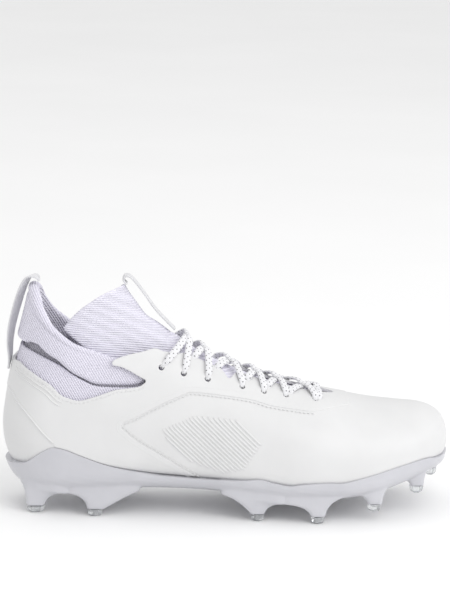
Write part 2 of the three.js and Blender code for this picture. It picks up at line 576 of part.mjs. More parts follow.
// A lace strand over the shell between two places given as section number and across, drawn up to share end
function strand(from, to, lift, end) {
  const steps = 8;
  const clear = QUARTER_STEP + 1.5 * GAP + LACE_THICKNESS / 2;
  const sunk = clear - LACE_SINK;
  const points = [];
  const faces = [];
  for (let k = 0; k <= steps; k++) {
    const t = (end * k) / steps;
    const across = lerp(from[1], to[1], t);
    const surface = last(lerp(from[0], to[0], t ** LACE_EASE));
    const level = lerp(sunk, clear, smoothstep(Math.abs(across), 0, THROAT_EDGE / 2));
    points.push(surface.out(across, level + lift * Math.exp(-((across / 0.08) ** 2))));
    faces.push(surface.normal(across));
  }
  const widths = headings(points).map((ahead, k) => ahead.cross(faces[k]).normalize());
  return strip(points, widths, faces, [LACE_WIDTH, LACE_THICKNESS], OVAL);
}

// Two strands that cross between two rows of eyelets, joined. Each comes out of a lower eyelet and goes under the
// shell's edge on its way to the upper one; at the top row it goes in from outside.
function makeCrossing(k) {
  const [lowerRow, below] = EYELETS[k + 1];
  const [upperRow, beside] = EYELETS[k];
  const end = k === 0 ? 1 : (below + THROAT_EDGE) / (below + beside);
  const over = strand([lowerRow, -below], [upperRow, beside], LACE_RISE, end);
  return over.add(strand([lowerRow, below], [upperRow, -beside], 0, end));
}

function makeBar() {
  const [u, across] = EYELETS.at(-1);
  const lowered = u - 0.25;
  return strand([lowered, -across], [lowered, across], 0, 1);
}

// A pull loop of ribbon over the ridge or round the heel, turned by twist degrees in its middle
function makeLoop(table, heel, twist) {
  const end = heel ? ["baseX", "baseZ"] : ["topX", "topZ"];
  const side = heel ? -1 : 1;
  const line = (u) => new THREE.Vector3(place(section(u)[end[0]]), 0, rise(section(u)[end[1]]));
  const route = table.map(([u, distance]) => {
    const along = line(u + DELTA).sub(line(u - DELTA)).normalize();
    const out = new THREE.Vector3(side * along.z, 0, -side * along.x);
    return line(u).addScaledVector(out, distance * LOOP_BOW);
  });
  const points = new THREE.CatmullRomCurve3(route).getPoints(18);
  const widths = points.map((_, k) => {
    const angle = degToRad(twist * Math.sin((Math.PI * k) / (points.length - 1)));
    return new THREE.Vector3(Math.sin(angle), Math.cos(angle), 0);
  });
  const faces = headings(points).map((ahead, k) => widths[k].clone().cross(ahead).normalize());
  return strip(points, widths, faces, [LOOP_WIDTH, LOOP_THICKNESS], FLAT);
}

// Meshes
const surface = (color, roughness) => new THREE.MeshStandardMaterial({ color, roughness, metalness: 0 });
const SHELL = surface(0xe9e9e9, 0.38);
const KNIT = surface(0xe6e4f0, 0.92);
const PLATE = surface(0xcfced4, 0.3);
const CLEAR = surface(0xdfe3e6, 0.08);
const CORD = surface(0xf2f1f6, 0.85);
const RIBBON = surface(0xe4e4e6, 0.5);
const FOAM = surface(0xf0f0f2, 0.9);

function mesh(name, made, material) {
  const { numProp, vertProperties, triVerts } = made.getMesh();
  const count = vertProperties.length / numProp;
  const positions = Float32Array.from({ length: 3 * count }, (_, i) => {
    return vertProperties[Math.floor(i / 3) * numProp + (i % 3)];
  });
  const geometry = new THREE.BufferGeometry();
  geometry.setAttribute("position", new THREE.BufferAttribute(positions, 3));
  geometry.setIndex(new THREE.BufferAttribute(triVerts, 1));
  geometry.computeVertexNormals();
  const result = new THREE.Mesh(geometry, material);
  result.name = name;
  return result;
}

const cleat = new THREE.Group();
cleat.add(mesh("upper", makeUpper(), SHELL));
cleat.add(mesh("ankle_panel", makeAnklePanel(), KNIT));
cleat.add(mesh("collar", makeCollar(), KNIT));
cleat.add(mesh("tongue", makeTongue(), KNIT));
cleat.add(mesh("insole", makeInsole(), FOAM));
cleat.add(mesh("sole_plate", makePlate(), PLATE));
for (const stud of STUDS) cleat.add(mesh(`stud_tip_${stud.name}`, makeTip(stud), CLEAR));
for (let k = 0; k < EYELETS.length - 1; k++) cleat.add(mesh(`lace_cross_${k + 1}`, makeCrossing(k), CORD));
cleat.add(mesh("lace_bar", makeBar(), CORD));
cleat.add(mesh("heel_loop", makeLoop(HEEL_LOOP, true, HEEL_TWIST), RIBBON));
cleat.add(mesh("tongue_loop", makeLoop(TONGUE_LOOP, false, 0), RIBBON));

// The origin is on the floor, under the middle of the shoe's box
const box = new THREE.Box3().setFromObject(cleat);
const centre = box.getCenter(new THREE.Vector3());
cleat.position.set(-centre.x, -centre.y, -box.min.z);

export default cleat;
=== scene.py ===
# A mid-cut cleat for the right foot: the dressed model, with floor, light and camera.
# Lengths are in millimetres in the last's own frame, as in the part's source, and go to the row frame's
# metres when a mesh is made. +X is to the toe, +Z up, and the outer side of the foot is towards -Y.
import math

import bmesh
import bpy
import numpy as np
from mathutils import Matrix, Vector


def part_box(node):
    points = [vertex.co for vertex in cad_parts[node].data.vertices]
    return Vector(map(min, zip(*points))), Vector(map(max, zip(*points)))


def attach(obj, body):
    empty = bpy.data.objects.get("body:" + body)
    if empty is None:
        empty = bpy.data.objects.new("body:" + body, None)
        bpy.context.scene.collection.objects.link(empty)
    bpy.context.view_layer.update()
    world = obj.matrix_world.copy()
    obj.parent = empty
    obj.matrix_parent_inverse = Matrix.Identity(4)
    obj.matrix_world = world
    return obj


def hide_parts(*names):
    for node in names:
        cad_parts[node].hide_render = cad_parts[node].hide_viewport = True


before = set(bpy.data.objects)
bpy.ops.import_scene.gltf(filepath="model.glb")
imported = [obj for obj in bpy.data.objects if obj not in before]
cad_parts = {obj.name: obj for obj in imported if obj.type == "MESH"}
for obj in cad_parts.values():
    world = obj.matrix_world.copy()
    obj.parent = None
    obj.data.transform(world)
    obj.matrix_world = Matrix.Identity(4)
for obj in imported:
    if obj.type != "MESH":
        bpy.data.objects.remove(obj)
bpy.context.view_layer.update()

# Driving sizes, those of the part's source
LENGTH = 293
BALL_WIDTH = 98
BODY_HEIGHT = 136
STUD_HEIGHT = 12
SHELL_WALL = 1.8
QUARTER_STEP = 0.4
RAND_STEP = 0.8
RAND_TUCK = 0.46  # how far the shell steps in behind the plate's rim
LASTING_MARGIN = 11
LASTING_WIDTH = 0.86  # of the last's width, where the shell turns under the foot
PANEL_WALL = 2
COLLAR_WALL = 3.2
COLLAR_PAD = 7
COLLAR_SWELL = 1.6
TONGUE_WALL = 3
INSOLE_THICKNESS = 4
PLATE_EDGE = 1
PLATE_SOLE = 3.6
PLATE_HEEL = 6
GAP = 0.3
TUCK = 9
EYELET_RADIUS = 1.9
LACE_WIDTH = 4.8
LACE_THICKNESS = 2
LACE_RISE = 1.8
LACE_EASE = 1.5  # above 1, a strand runs straight across first and turns to the next row late
LACE_SINK = 2
LOOP_WIDTH = 9
LOOP_THICKNESS = 1.4
LOOP_BOW = 8
TIP_HEIGHT = 4.4
TIP_WIDTH = 11
EDGE_INSET = 3.5
WEB_WIDTH = 13

CELL = 1.3  # side of a face on the sewn pieces
MERGED = 0.22  # how near two corners are merged, as a share of CELL
VOXEL = 0.9  # side of a face on the sole plate
RIM_SMOOTHING = 8  # rounds of smoothing for the direction of a sheet's rim
BLOCK_GIRTH = 150  # half the girth that the faces of the plate's block are counted on
RAND_ABOVE = 4  # how far the plate's block reaches over its rim before it is cut
PANEL_FRONT = [0.13, 0.23]  # where the collar sinks in under the wing, as shares of LENGTH
BINDING_WIDTH = 3.6  # the rolled rim of the collar, down to its seam
BINDING_GROOVE = 0.8
KNIT_START = 11  # the section where the pieces round the ankle start
KNIT_PITCH = 0.0014  # of the twill's ribs, in metres

# The last's sections from toe tip to collar, the same table as in the source
COLUMNS = ["topX", "topZ", "baseX", "baseZ", "lateral", "medial", "middle", "belly", "low", "high"]
SECTIONS = np.array([
    [1.0, 0.235, 1.0, 0.235, 0.0, 0.0, 0.102, 0.42, 2.2, 2.2],
    [0.992, 0.324, 0.988, 0.165, 0.168, 0.168, 0.102, 0.42, 2.3, 2.2],
    [0.973, 0.371, 0.966, 0.132, 0.276, 0.255, 0.102, 0.42, 2.5, 2.2],
    [0.939, 0.399, 0.935, 0.11, 0.362, 0.327, 0.097, 0.41, 2.7, 2.2],
    [0.887, 0.41, 0.887, 0.08, 0.444, 0.388, 0.082, 0.4, 3.0, 2.2],
    [0.819, 0.43, 0.819, 0.04, 0.505, 0.439, 0.056, 0.39, 3.2, 2.15],
    [0.737, 0.467, 0.741, 0.02, 0.531, 0.474, 0.031, 0.38, 3.2, 2.1],
    [0.655, 0.504, 0.659, 0.018, 0.515, 0.449, 0.01, 0.37, 3.2, 2.05],
    [0.58, 0.551, 0.573, 0.03, 0.474, 0.398, 0.0, 0.36, 3.2, 2.0],
    [0.512, 0.61, 0.488, 0.048, 0.434, 0.347, 0.0, 0.35, 3.1, 2.0],
    [0.461, 0.662, 0.399, 0.062, 0.398, 0.321, 0.0, 0.33, 3.0, 2.0],
    [0.416, 0.721, 0.311, 0.066, 0.372, 0.321, 0.0, 0.31, 3.0, 2.0],
    [0.386, 0.783, 0.222, 0.055, 0.362, 0.332, 0.0, 0.3, 3.0, 2.0],
    [0.355, 0.827, 0.137, 0.045, 0.352, 0.337, 0.0, 0.3, 2.8, 2.0],
    [0.328, 0.86, 0.061, 0.066, 0.347, 0.337, 0.0, 0.32, 2.4, 2.0],
    [0.3135, 0.893, 0.017, 0.162, 0.342, 0.337, 0.0, 0.34, 2.2, 2.0],
    [0.2995, 0.93, 0.0017, 0.301, 0.337, 0.332, 0.0, 0.36, 2.1, 2.0],
    [0.286, 0.967, 0.009, 0.463, 0.327, 0.321, 0.0, 0.4, 2.1, 2.0],
    [0.277, 1.0, 0.023, 0.618, 0.316, 0.311, 0.0, 0.44, 2.1, 2.0],
    [0.269, 1.029, 0.039, 0.75, 0.311, 0.306, 0.0, 0.47, 2.1, 2.1],
    [0.262, 1.059, 0.054, 0.882, 0.311, 0.306, 0.0, 0.49, 2.2, 2.2],
    [0.256, 1.088, 0.068, 1.029, 0.316, 0.311, 0.0, 0.5, 2.2, 2.2],
])
LAST_SECTION = len(SECTIONS) - 1

# Edges in side view, as shares of LENGTH and of BODY_HEIGHT above the studs, heel to toe
TOPLINE = [
    [0.026, 0.637], [0.038, 0.643], [0.053, 0.626], [0.075, 0.602], [0.109, 0.559], [0.131, 0.513],
    [0.151, 0.493], [0.175, 0.484], [0.218, 0.51], [0.25, 0.533], [0.282, 0.542], [0.303, 0.55],
    [0.316, 0.57],
]
WING = [
    [0.316, 0.579], [0.299, 0.598], [0.282, 0.619], [0.263, 0.638], [0.244, 0.649], [0.247, 0.671],
    [0.276, 0.692], [0.309, 0.706], [0.336, 0.719], [0.355, 0.706], [0.375, 0.697], [0.396, 0.692],
    [0.413, 0.704], [0.424, 0.85],
]
FOLD = [
    [0.0, 0.74], [0.049, 0.739], [0.058, 0.748], [0.077, 0.743], [0.087, 0.726], [0.102, 0.703],
    [0.124, 0.676], [0.143, 0.64], [0.159, 0.612], [0.184, 0.581], [0.208, 0.556], [0.249, 0.55],
    [0.29, 0.551], [0.317, 0.566],
]
PANEL_TOP = [
    [0.0, 0.705], [0.041, 0.709], [0.047, 0.712], [0.074, 0.699], [0.103, 0.675], [0.132, 0.645],
    [0.157, 0.605], [0.182, 0.573], [0.207, 0.549], [0.249, 0.542], [0.29, 0.543], [0.315, 0.558],
]
RIM = [
    [0.0, 0.99], [0.062, 1.0], [0.068, 0.985], [0.075, 0.954], [0.083, 0.912], [0.106, 0.845],
    [0.132, 0.798], [0.166, 0.749], [0.207, 0.713], [0.245, 0.678], [0.3, 0.64], [0.34, 0.6],
]
PLATE_RIM = [
    [-0.05, 0.14], [0.018, 0.147], [0.031, 0.154], [0.055, 0.168], [0.087, 0.224], [0.113, 0.255],
    [0.143, 0.246], [0.175, 0.219], [0.241, 0.17], [0.328, 0.136], [0.382, 0.127], [0.449, 0.12],
    [0.526, 0.122], [0.568, 0.132], [0.599, 0.118], [0.634, 0.107], [0.665, 0.118], [0.719, 0.125],
    [0.754, 0.125], [0.809, 0.15], [0.877, 0.182], [0.939, 0.198], [0.969, 0.188], [1.05, 0.18],
]
COUNTER_EDGE = [
    [-0.05, 0.56], [0.016, 0.499], [0.029, 0.465], [0.048, 0.424], [0.066, 0.382], [0.086, 0.33],
    [0.104, 0.291], [0.118, 0.262],
]
QUARTER_EDGE = [
    [0.46, 0.05], [0.445, 0.098], [0.419, 0.138], [0.394, 0.173], [0.362, 0.215], [0.326, 0.26],
    [0.295, 0.301], [0.273, 0.34], [0.264, 0.36], [0.271, 0.385], [0.293, 0.404], [0.327, 0.443],
    [0.36, 0.478], [0.388, 0.503], [0.409, 0.522], [0.435, 0.521], [0.491, 0.508], [0.545, 0.49],
    [0.588, 0.465], [0.633, 0.449], [0.683, 0.435], [0.724, 0.44], [0.771, 0.44],
]
TONGUE_TOP = [
    [0.133, 0.81], [0.168, 0.895], [0.214, 0.962], [0.254, 0.993], [0.282, 1.0], [0.34, 1.02],
]
TONGUE_DROP = 0.11  # how much lower the tongue's inner wing is, as a share of BODY_HEIGHT
TONGUE_FOOT = [
    [0.76, 0.5], [0.75, 0.44], [0.68, 0.42], [0.58, 0.44], [0.48, 0.5], [0.4, 0.55], [0.34, 0.57],
    [0.26, 0.62], [0.18, 0.72],
]

# Throat in top view, from its rear to the vamp: distance from the heel as a share of LENGTH, half width as a
# share of BALL_WIDTH
THROAT = [
    [0.38, 0.19], [0.403, 0.159], [0.427, 0.149], [0.48, 0.15], [0.5, 0.208], [0.519, 0.123],
    [0.546, 0.107], [0.58, 0.097], [0.638, 0.082], [0.693, 0.066], [0.724, 0.046], [0.737, 0.015],
]
THROAT_SHIFT = 0.03

# Eyelets from the top row down: section number, and share of the girth from the ridge
EYELETS = [
    [12.04, 0.24], [10.96, 0.225], [10.0, 0.21], [8.71, 0.185], [8.04, 0.17], [7.38, 0.155], [6.54, 0.14],
]
THROAT_EDGE = 0.115

# Studs: name, x and y of the tip as shares, height of its foot, turn in degrees, size, and the webs aft and
# fore: how far each runs, how high it climbs, both as shares of STUD_HEIGHT, and how straight it is
STUDS = [
    ["heel_outer_rear", 0.077, -0.19, 0, -28, 1.12, [0.35, 1.2, 0], [1.3, 0.8, 0]],
    ["heel_inner_rear", 0.086, 0.2, 0, 28, 1.12, [0.35, 1.2, 0], [1.3, 0.8, 0]],
    ["heel_outer_front", 0.209, -0.27, 0, -3, 1, [1, 0.8, 0], [1.95, 1.05, 0.9]],
    ["heel_inner_front", 0.229, 0.25, 0, 3, 1, [1, 0.8, 0], [1.95, 1.05, 0.9]],
    ["outer_1", 0.566, -0.37, 0, 12, 0.84, [1.6, 1, 0.5], [1.1, 0.65, 0]],
    ["outer_2", 0.697, -0.42, 0, 2, 0.9, [1.45, 0.65, 0], [1.5, 1.15, 0]],
    ["outer_3", 0.824, -0.36, 0.58, -14, 0.9, [0.95, 0.6, 0], [0.75, 1.15, 0]],
    ["outer_4", 0.923, -0.2, 1.22, -38, 0.84, [0.9, 0.55, 0], [0.35, 0.9, 0]],
    ["inner_1", 0.586, 0.3, 0, -12, 0.84, [1.6, 1, 0.5], [1.1, 0.65, 0]],
    ["inner_2", 0.712, 0.38, 0, -3, 0.9, [1.45, 0.65, 0], [1.5, 1.15, 0]],
    ["inner_3", 0.84, 0.385, 0.68, 14, 0.9, [0.95, 0.6, 0], [0.6, 0.8, 0]],
    ["inner_4", 0.915, 0.33, 1.2, 38, 0.84, [0.4, 0.55, 0], [0.35, 0.6, 0]],
    ["toe", 0.968, 0.12, 1.45, 84, 0.76, [0.2, 0.5, 0], [0.2, 0.5, 0]],
]

# Pull loops: section number, and distance from the last's centre line as a share of LOOP_BOW
HEEL_TWIST = 34  # how far the heel's loop is turned in its middle, in degrees
HEEL_LOOP = [
    [17.75, 0.19], [18.1, 0.25], [18.6, 0.58], [19.2, 0.78], [19.9, 0.79], [20.5, 0.66], [20.88, 0.42],
    [21.0, 0.1], [21.01, -0.28], [20.92, -0.55],
]
TONGUE_LOOP = [
    [18.1, -0.12], [18.65, -0.2], [19.05, -0.04], [19.1, 0.2], [18.6, 0.43], [17.6, 0.58], [16.2, 0.62],
    [14.8, 0.53], [13.6, 0.34], [12.8, 0.04], [12.1, -0.16],
]

REACH = 2 * BALL_WIDTH
BACK = -LENGTH / 4
FRONT = LENGTH * 1.25
SKY = 2 * (STUD_HEIGHT + BODY_HEIGHT)
GROUND = -BODY_HEIGHT / 4


def place(x):
    return np.asarray(x) * LENGTH


def rise(z):
    return STUD_HEIGHT + np.asarray(z) * BODY_HEIGHT


def lerp(a, b, t):
    return a + (b - a) * t


def smoothstep(x, low, high):
    t = np.clip((x - low) / (high - low), 0, 1)
    return t * t * (3 - 2 * t)


def unit(vectors):
    return vectors / np.maximum(np.linalg.norm(vectors, axis=-1, keepdims=True), 1e-9)


def rounded(angles, square):
    """The two shares of a superellipse at angles; it is squarer for a larger square."""
    return [np.sign(share) * np.abs(share) ** (2 / square) for share in (np.cos(angles), np.sin(angles))]


def lengths_of(points):
    """Length along a line up to each of its points."""
    return np.concatenate([[0], np.cumsum(np.linalg.norm(np.diff(points, axis=0), axis=-1))])


# The last's frame in the row frame, found from a stud whose place is in the table
def frame_shift():
    name, x, y = STUDS[2][:3]
    low, high = (np.array(corner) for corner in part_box(f"stud_tip_{name}"))
    middle = (low + high) / 2 * 1000
    return np.array([middle[0] - x * LENGTH, middle[1] - y * BALL_WIDTH, low[2] * 1000])


SHIFT = frame_shift()


def to_row(points):
    """Points of the last's frame in millimetres, in the row frame's metres."""
    return (np.asarray(points, float) + SHIFT) / 1000


def spline(p0, p1, p2, p3, t):
    a = 2 * p1 + (p2 - p0) * t
    b = (2 * p0 - 5 * p1 + 4 * p2 - p3) * t * t
    c = (3 * p1 - p0 - 3 * p2 + p3) * t * t * t
    return (a + b + c) / 2


def smooth_line(table, steps=6):
    """A Catmull-Rom curve through the rows of a table."""
    rows = np.asarray(table, float)
    padded = np.vstack([2 * rows[0] - rows[1], rows, 2 * rows[-1] - rows[-2]])
    points = []
    for i in range(len(rows) - 1):
        for k in range(steps):
            points.append(spline(*padded[i:i + 4], k / steps))
    return np.array(points + [rows[-1]])


def side_line(table, steps=6):
    """A smooth side-view edge, in millimetres."""
    line = smooth_line(table, steps)
    return np.column_stack([place(line[:, 0]), rise(line[:, 1])])


def height_of(line, x):
    return np.interp(x, line[:, 0], line[:, 1])


# The last, worked out once on a fine table of section number and share of the girth
STEPS = 24
SIDE = 160
first = SECTIONS[1][[2, 3, 0, 1, 4, 5, 6, 7, 8, 9]] * [1, 1, 1, 1, -1, -1, 1, 1, 1, 1]
ROWS = np.vstack([first, SECTIONS, 2 * SECTIONS[-1] - SECTIONS[-2]])


def section(u):
    """The last's sizes at fractional section numbers, as a dict of arrays."""
    u = np.atleast_1d(np.asarray(u, float))
    i = np.clip(np.floor(u).astype(int), 0, LAST_SECTION - 1)
    values = spline(*(ROWS[i + k] for k in range(4)), (u - i)[:, None])
    return dict(zip(COLUMNS, values.T))


def outline(u, side):
    """One side of each section from ridge to base, evenly spaced along its girth, and the girths."""
    s = {name: value[:, None] for name, value in section(u).items()}
    width = np.maximum(s["lateral" if side < 0 else "medial"], 0) * BALL_WIDTH
    angle = np.linspace(0, np.pi, SIDE + 1)[None, :]
    high = angle < np.pi / 2 - 1e-9
    power = 2 / np.where(high, s["high"], s["low"])
    climb = np.abs(np.cos(angle)) ** power
    share = np.where(high, s["belly"] + (1 - s["belly"]) * climb, s["belly"] * (1 - climb))
    x = place(lerp(s["baseX"], s["topX"], share))
    z = rise(lerp(s["baseZ"], s["topZ"], share))
    y = s["middle"] * BALL_WIDTH + side * width * np.maximum(np.sin(angle), 0) ** power
    points = np.stack([x, np.broadcast_to(y, x.shape), z], -1)
    steps = np.linalg.norm(np.diff(points, axis=1), axis=-1)
    girths = np.concatenate([np.zeros((len(steps), 1)), np.cumsum(steps, 1)], 1)
    even = np.empty_like(points)
    for row, (girth, ring) in enumerate(zip(girths, points)):
        wanted = np.linspace(0, girth[-1], SIDE + 1)
        even[row] = np.stack([np.interp(wanted, girth, ring[:, k]) for k in range(3)], -1)
    return even, girths[:, -1]


def make_table():
    u = np.linspace(0, LAST_SECTION, LAST_SECTION * STEPS + 1)
    outer, outer_girth = outline(u, -1)
    inner, inner_girth = outline(u, 1)
    points = np.concatenate([outer[:, ::-1], inner[:, 1:]], 1)
    around = np.roll(points[:, :-1], -1, 1) - np.roll(points[:, :-1], 1, 1)
    around[:, 0] = points[:, 1] - points[:, -2]
    around = np.concatenate([around, around[:, :1]], 1)
    along = np.gradient(points, axis=0)
    normals = unit(np.cross(around, along))
    normals[0] = [1, 0, 0]
    return points, normals, outer_girth, inner_girth


POINTS, NORMALS, OUTER_GIRTH, INNER_GIRTH = make_table()


def look_up(table, u, across):
    """Values of the table between its rows and columns."""
    u, across = np.broadcast_arrays(np.asarray(u, float), np.asarray(across, float))
    row = np.clip(u * STEPS, 0, len(table) - 1.001)
    column = np.clip((across + 1) * SIDE, 0, 2 * SIDE - 0.001)
    i, j = row.astype(int), column.astype(int)
    s, t = (row - i)[..., None], (column - j)[..., None]
    return lerp(lerp(table[i, j], table[i + 1, j], s), lerp(table[i, j + 1], table[i + 1, j + 1], s), t)


def normal(u, across):
    return unit(look_up(NORMALS, u, across))


def on_last(u, across, distance=0):
    """Points at a distance from the last's surface."""
    return look_up(POINTS, u, across) + normal(u, across) * np.asarray(distance)[..., None]


def girth(u, across):
    """Length round the section from the ridge."""
    u = np.asarray(u, float)
    rows = np.linspace(0, LAST_SECTION, len(OUTER_GIRTH))
    half = np.where(np.asarray(across) < 0, np.interp(u, rows, OUTER_GIRTH), np.interp(u, rows, INNER_GIRTH))
    return half * across


ALONG = lengths_of(POINTS[:, SIDE // 2])


def along(u):
    """Length along the outer side from the toe."""
    return np.interp(u, np.linspace(0, LAST_SECTION, len(ALONG)), ALONG)


# Meshes
def mesh_object(name, points, faces, uv=None, slot=None, nodes=()):
    """A piece from points in the last's frame, smooth shaded."""
    mesh = bpy.data.meshes.new(name)
    mesh.from_pydata(to_row(points).tolist(), [], [list(map(int, face)) for face in faces])
    if uv is not None:
        layer = mesh.uv_layers.new(name="UVMap")
        corners = np.empty(len(mesh.loops), int)
        mesh.loops.foreach_get("vertex_index", corners)
        layer.data.foreach_set("uv", (np.asarray(uv)[corners] / 1000).astype(np.float32).ravel())
    mesh.polygons.foreach_set("use_smooth", np.ones(len(mesh.polygons), bool))
    mesh.update()
    piece = bpy.data.objects.new(name, mesh)
    bpy.context.scene.collection.objects.link(piece)
    if slot:
        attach(piece, "root")
        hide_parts(*nodes)
    return piece


def loft(rings):
    """Faces through rings of as many points each, with fans over both ends."""
    rings = np.asarray(rings, float)
    count, around = rings.shape[:2]
    i, j = np.meshgrid(np.arange(count - 1), np.arange(around), indexing="ij")
    k = (j + 1) % around
    faces = np.stack([i * around + j, i * around + k, (i + 1) * around + k, (i + 1) * around + j], -1)
    faces = faces.reshape(-1, 4).tolist()
    points = rings.reshape(-1, 3)
    start, end = len(points), len(points) + 1
    points = np.vstack([points, rings[0].mean(0), rings[-1].mean(0)])
    final = (count - 1) * around
    for j in range(around):
        k = (j + 1) % around
        faces += [[start, k, j], [end, final + j, final + k]]
    return points, faces


def outwards(points, faces):
    """The faces turned so that the closed form has a volume above zero."""
    total = 0.0
    for face in faces:
        a = points[face[0]]
        for b, c in zip(face[1:-1], face[2:]):
            total += np.dot(a, np.cross(points[b], points[c]))
    return faces if total > 0 else [face[::-1] for face in faces]


def join(parts):
    """Several (points, faces, uv) as one."""
    points, faces, uvs, start = [], [], [], 0
    for part_points, part_faces, part_uv in parts:
        points.append(part_points)
        uvs.append(part_uv)
        faces += [[index + start for index in face] for face in part_faces]
        start += len(part_points)
    return np.vstack(points), faces, np.vstack(uvs)


def applied(piece):
    """The piece with its modifiers applied."""
    graph = bpy.context.evaluated_depsgraph_get()
    made = bpy.data.meshes.new_from_object(piece.evaluated_get(graph))
    piece.modifiers.clear()
    piece.data = made
    return piece


# Distances from edges, above zero on the side that is kept
def inside_distance(x, y, polygon):
    """Distance from a polygon's edge, above zero inside it."""
    nearest = np.full(np.shape(x), 1e12)
    odd = np.zeros(np.shape(x), bool)
    for (ax, ay), (bx, by) in zip(polygon, np.roll(polygon, -1, 0)):
        dx, dy = bx - ax, by - ay
        t = np.clip(((x - ax) * dx + (y - ay) * dy) / max(dx * dx + dy * dy, 1e-12), 0, 1)
        nearest = np.minimum(nearest, (x - ax - t * dx) ** 2 + (y - ay - t * dy) ** 2)
        if ay != by:
            odd ^= ((ay > y) != (by > y)) & (x < ax + (y - ay) * dx / (by - ay))
    return np.where(odd, 1, -1) * np.sqrt(nearest)


def below_line(point, line):
    closed = [*line, [FRONT, line[-1][1]], [FRONT, GROUND], [BACK, GROUND], [BACK, line[0][1]]]
    return inside_distance(point[..., 0], point[..., 2], closed)


def above_line(point, line):
    return -below_line(point, line)


TOPLINE_CURVE = side_line(TOPLINE)
WING_CURVE = side_line(WING)
FOLD_CURVE = side_line(FOLD)
PANEL_CURVE = side_line(PANEL_TOP)
RIM_CURVE = side_line(RIM)
PLATE_CURVE = side_line(PLATE_RIM)
COUNTER_CURVE = side_line(COUNTER_EDGE)
QUARTER_CURVE = side_line(QUARTER_EDGE)


def lowered(line, drop):
    return line - [0, drop]


def throat_polygon():
    line = smooth_line(THROAT, 5)
    shift = THROAT_SHIFT * smoothstep(line[:, 0], THROAT[3][0], THROAT[-1][0])
    outer = np.column_stack([place(line[:, 0]), (shift - line[:, 1]) * BALL_WIDTH])
    inner = np.column_stack([place(line[:, 0]), (shift + line[:, 1]) * BALL_WIDTH])
    return np.vstack([outer, inner[::-1]])


THROAT_POLYGON = throat_polygon()


def clear_of_openings(u, across, point):
    """Distance from the shell's edges at collar, throat and eyelets."""
    x, y, z = np.moveaxis(point, -1, 0)
    collar = [[BACK, TOPLINE_CURVE[0][1]], *TOPLINE_CURVE, *WING_CURVE, [WING_CURVE[-1][0], SKY], [BACK, SKY]]
    clear = -inside_distance(x, z, collar)
    throat = -inside_distance(x, y, THROAT_POLYGON)
    clear = np.where(z > rise(0.3), np.minimum(clear, throat), clear)
    for eyelet_u, eyelet_across in EYELETS:
        for side in (-1, 1):
            centre = on_last(eyelet_u, side * eyelet_across)
            clear = np.minimum(clear, np.linalg.norm(point - centre, axis=-1) - EYELET_RADIUS)
    return clear


def lasting_margin(u, across, point):
    """Distance from the edge of the shell where it is turned in under the foot."""
    s = {name: value.reshape(np.shape(u)) for name, value in section(np.ravel(u)).items()}
    width = np.where(across < 0, s["lateral"], s["medial"]) * BALL_WIDTH
    side = np.abs(point[..., 1] - s["middle"] * BALL_WIDTH) - (LASTING_WIDTH * width - LASTING_MARGIN)
    up = point[..., 2] - rise(s["baseZ"]) - 3 * SHELL_WALL
    return np.where((u > 3) & (u < 14), np.maximum(side, up), 99)


# Sheets: a piece of the last's surface with a thickness and rounded edges
def clip_grid(values):
    """The part of a grid where values are above zero, as (row, column) places and faces."""
    inside = values > 0
    ids = np.full(values.shape, -1)
    ids[inside] = np.arange(inside.sum())
    places = [tuple(p) for p in np.argwhere(inside).astype(float)]
    crossings = {}

    def crossing(a, b):
        key = (a, b) if a < b else (b, a)
        if key not in crossings:
            t = values[a] / (values[a] - values[b])
            places.append((lerp(a[0], b[0], t), lerp(a[1], b[1], t)))
            crossings[key] = len(places) - 1
        return crossings[key]

    corners_in = [inside[:-1, :-1], inside[:-1, 1:], inside[1:, 1:], inside[1:, :-1]]
    full = np.logical_and.reduce(corners_in)
    r, c = np.nonzero(full)
    faces = np.stack([ids[r, c], ids[r, c + 1], ids[r + 1, c + 1], ids[r + 1, c]], -1).tolist()
    for r, c in np.argwhere(np.logical_or.reduce(corners_in) & ~full).tolist():
        corners = [(r, c), (r, c + 1), (r + 1, c + 1), (r + 1, c)]
        face = []
        for a, b in zip(corners, corners[1:] + corners[:1]):
            if inside[a]:
                face.append(ids[a])
            if inside[a] != inside[b]:
                face.append(crossing(a, b))
        faces.append(face)
    return np.array(places), faces


def rows_between(start, end, cell):
    """Section numbers from start to end, about a cell apart."""
    rows = []
    for i in range(math.floor(start), math.ceil(end)):
        low, high = max(i, start), min(i + 1, end)
        span = np.linalg.norm(POINTS[int(high * STEPS)] - POINTS[int(low * STEPS)], axis=-1).max()
        rows += np.linspace(low, high, max(2, math.ceil(span / cell)), endpoint=False).tolist()
    return np.array(rows + [end])


def merged(places, faces, points, distance):
    """The faces without points that lie closer together than distance."""
    work = bmesh.new()
    row = work.verts.layers.float.new("row")
    column = work.verts.layers.float.new("column")
    verts = []
    for point, (r, c) in zip(points.tolist(), places.tolist()):
        vert = work.verts.new(point)
        vert[row], vert[column] = r, c
        verts.append(vert)
    for face in faces:
        work.faces.new([verts[i] for i in face])
    bmesh.ops.remove_doubles(work, verts=work.verts, dist=distance)
    work.verts.index_update()
    kept = np.array([[vert[row], vert[column]] for vert in work.verts])
    loops = [[vert.index for vert in face.verts] for face in work.faces]
    work.free()
    return kept, loops


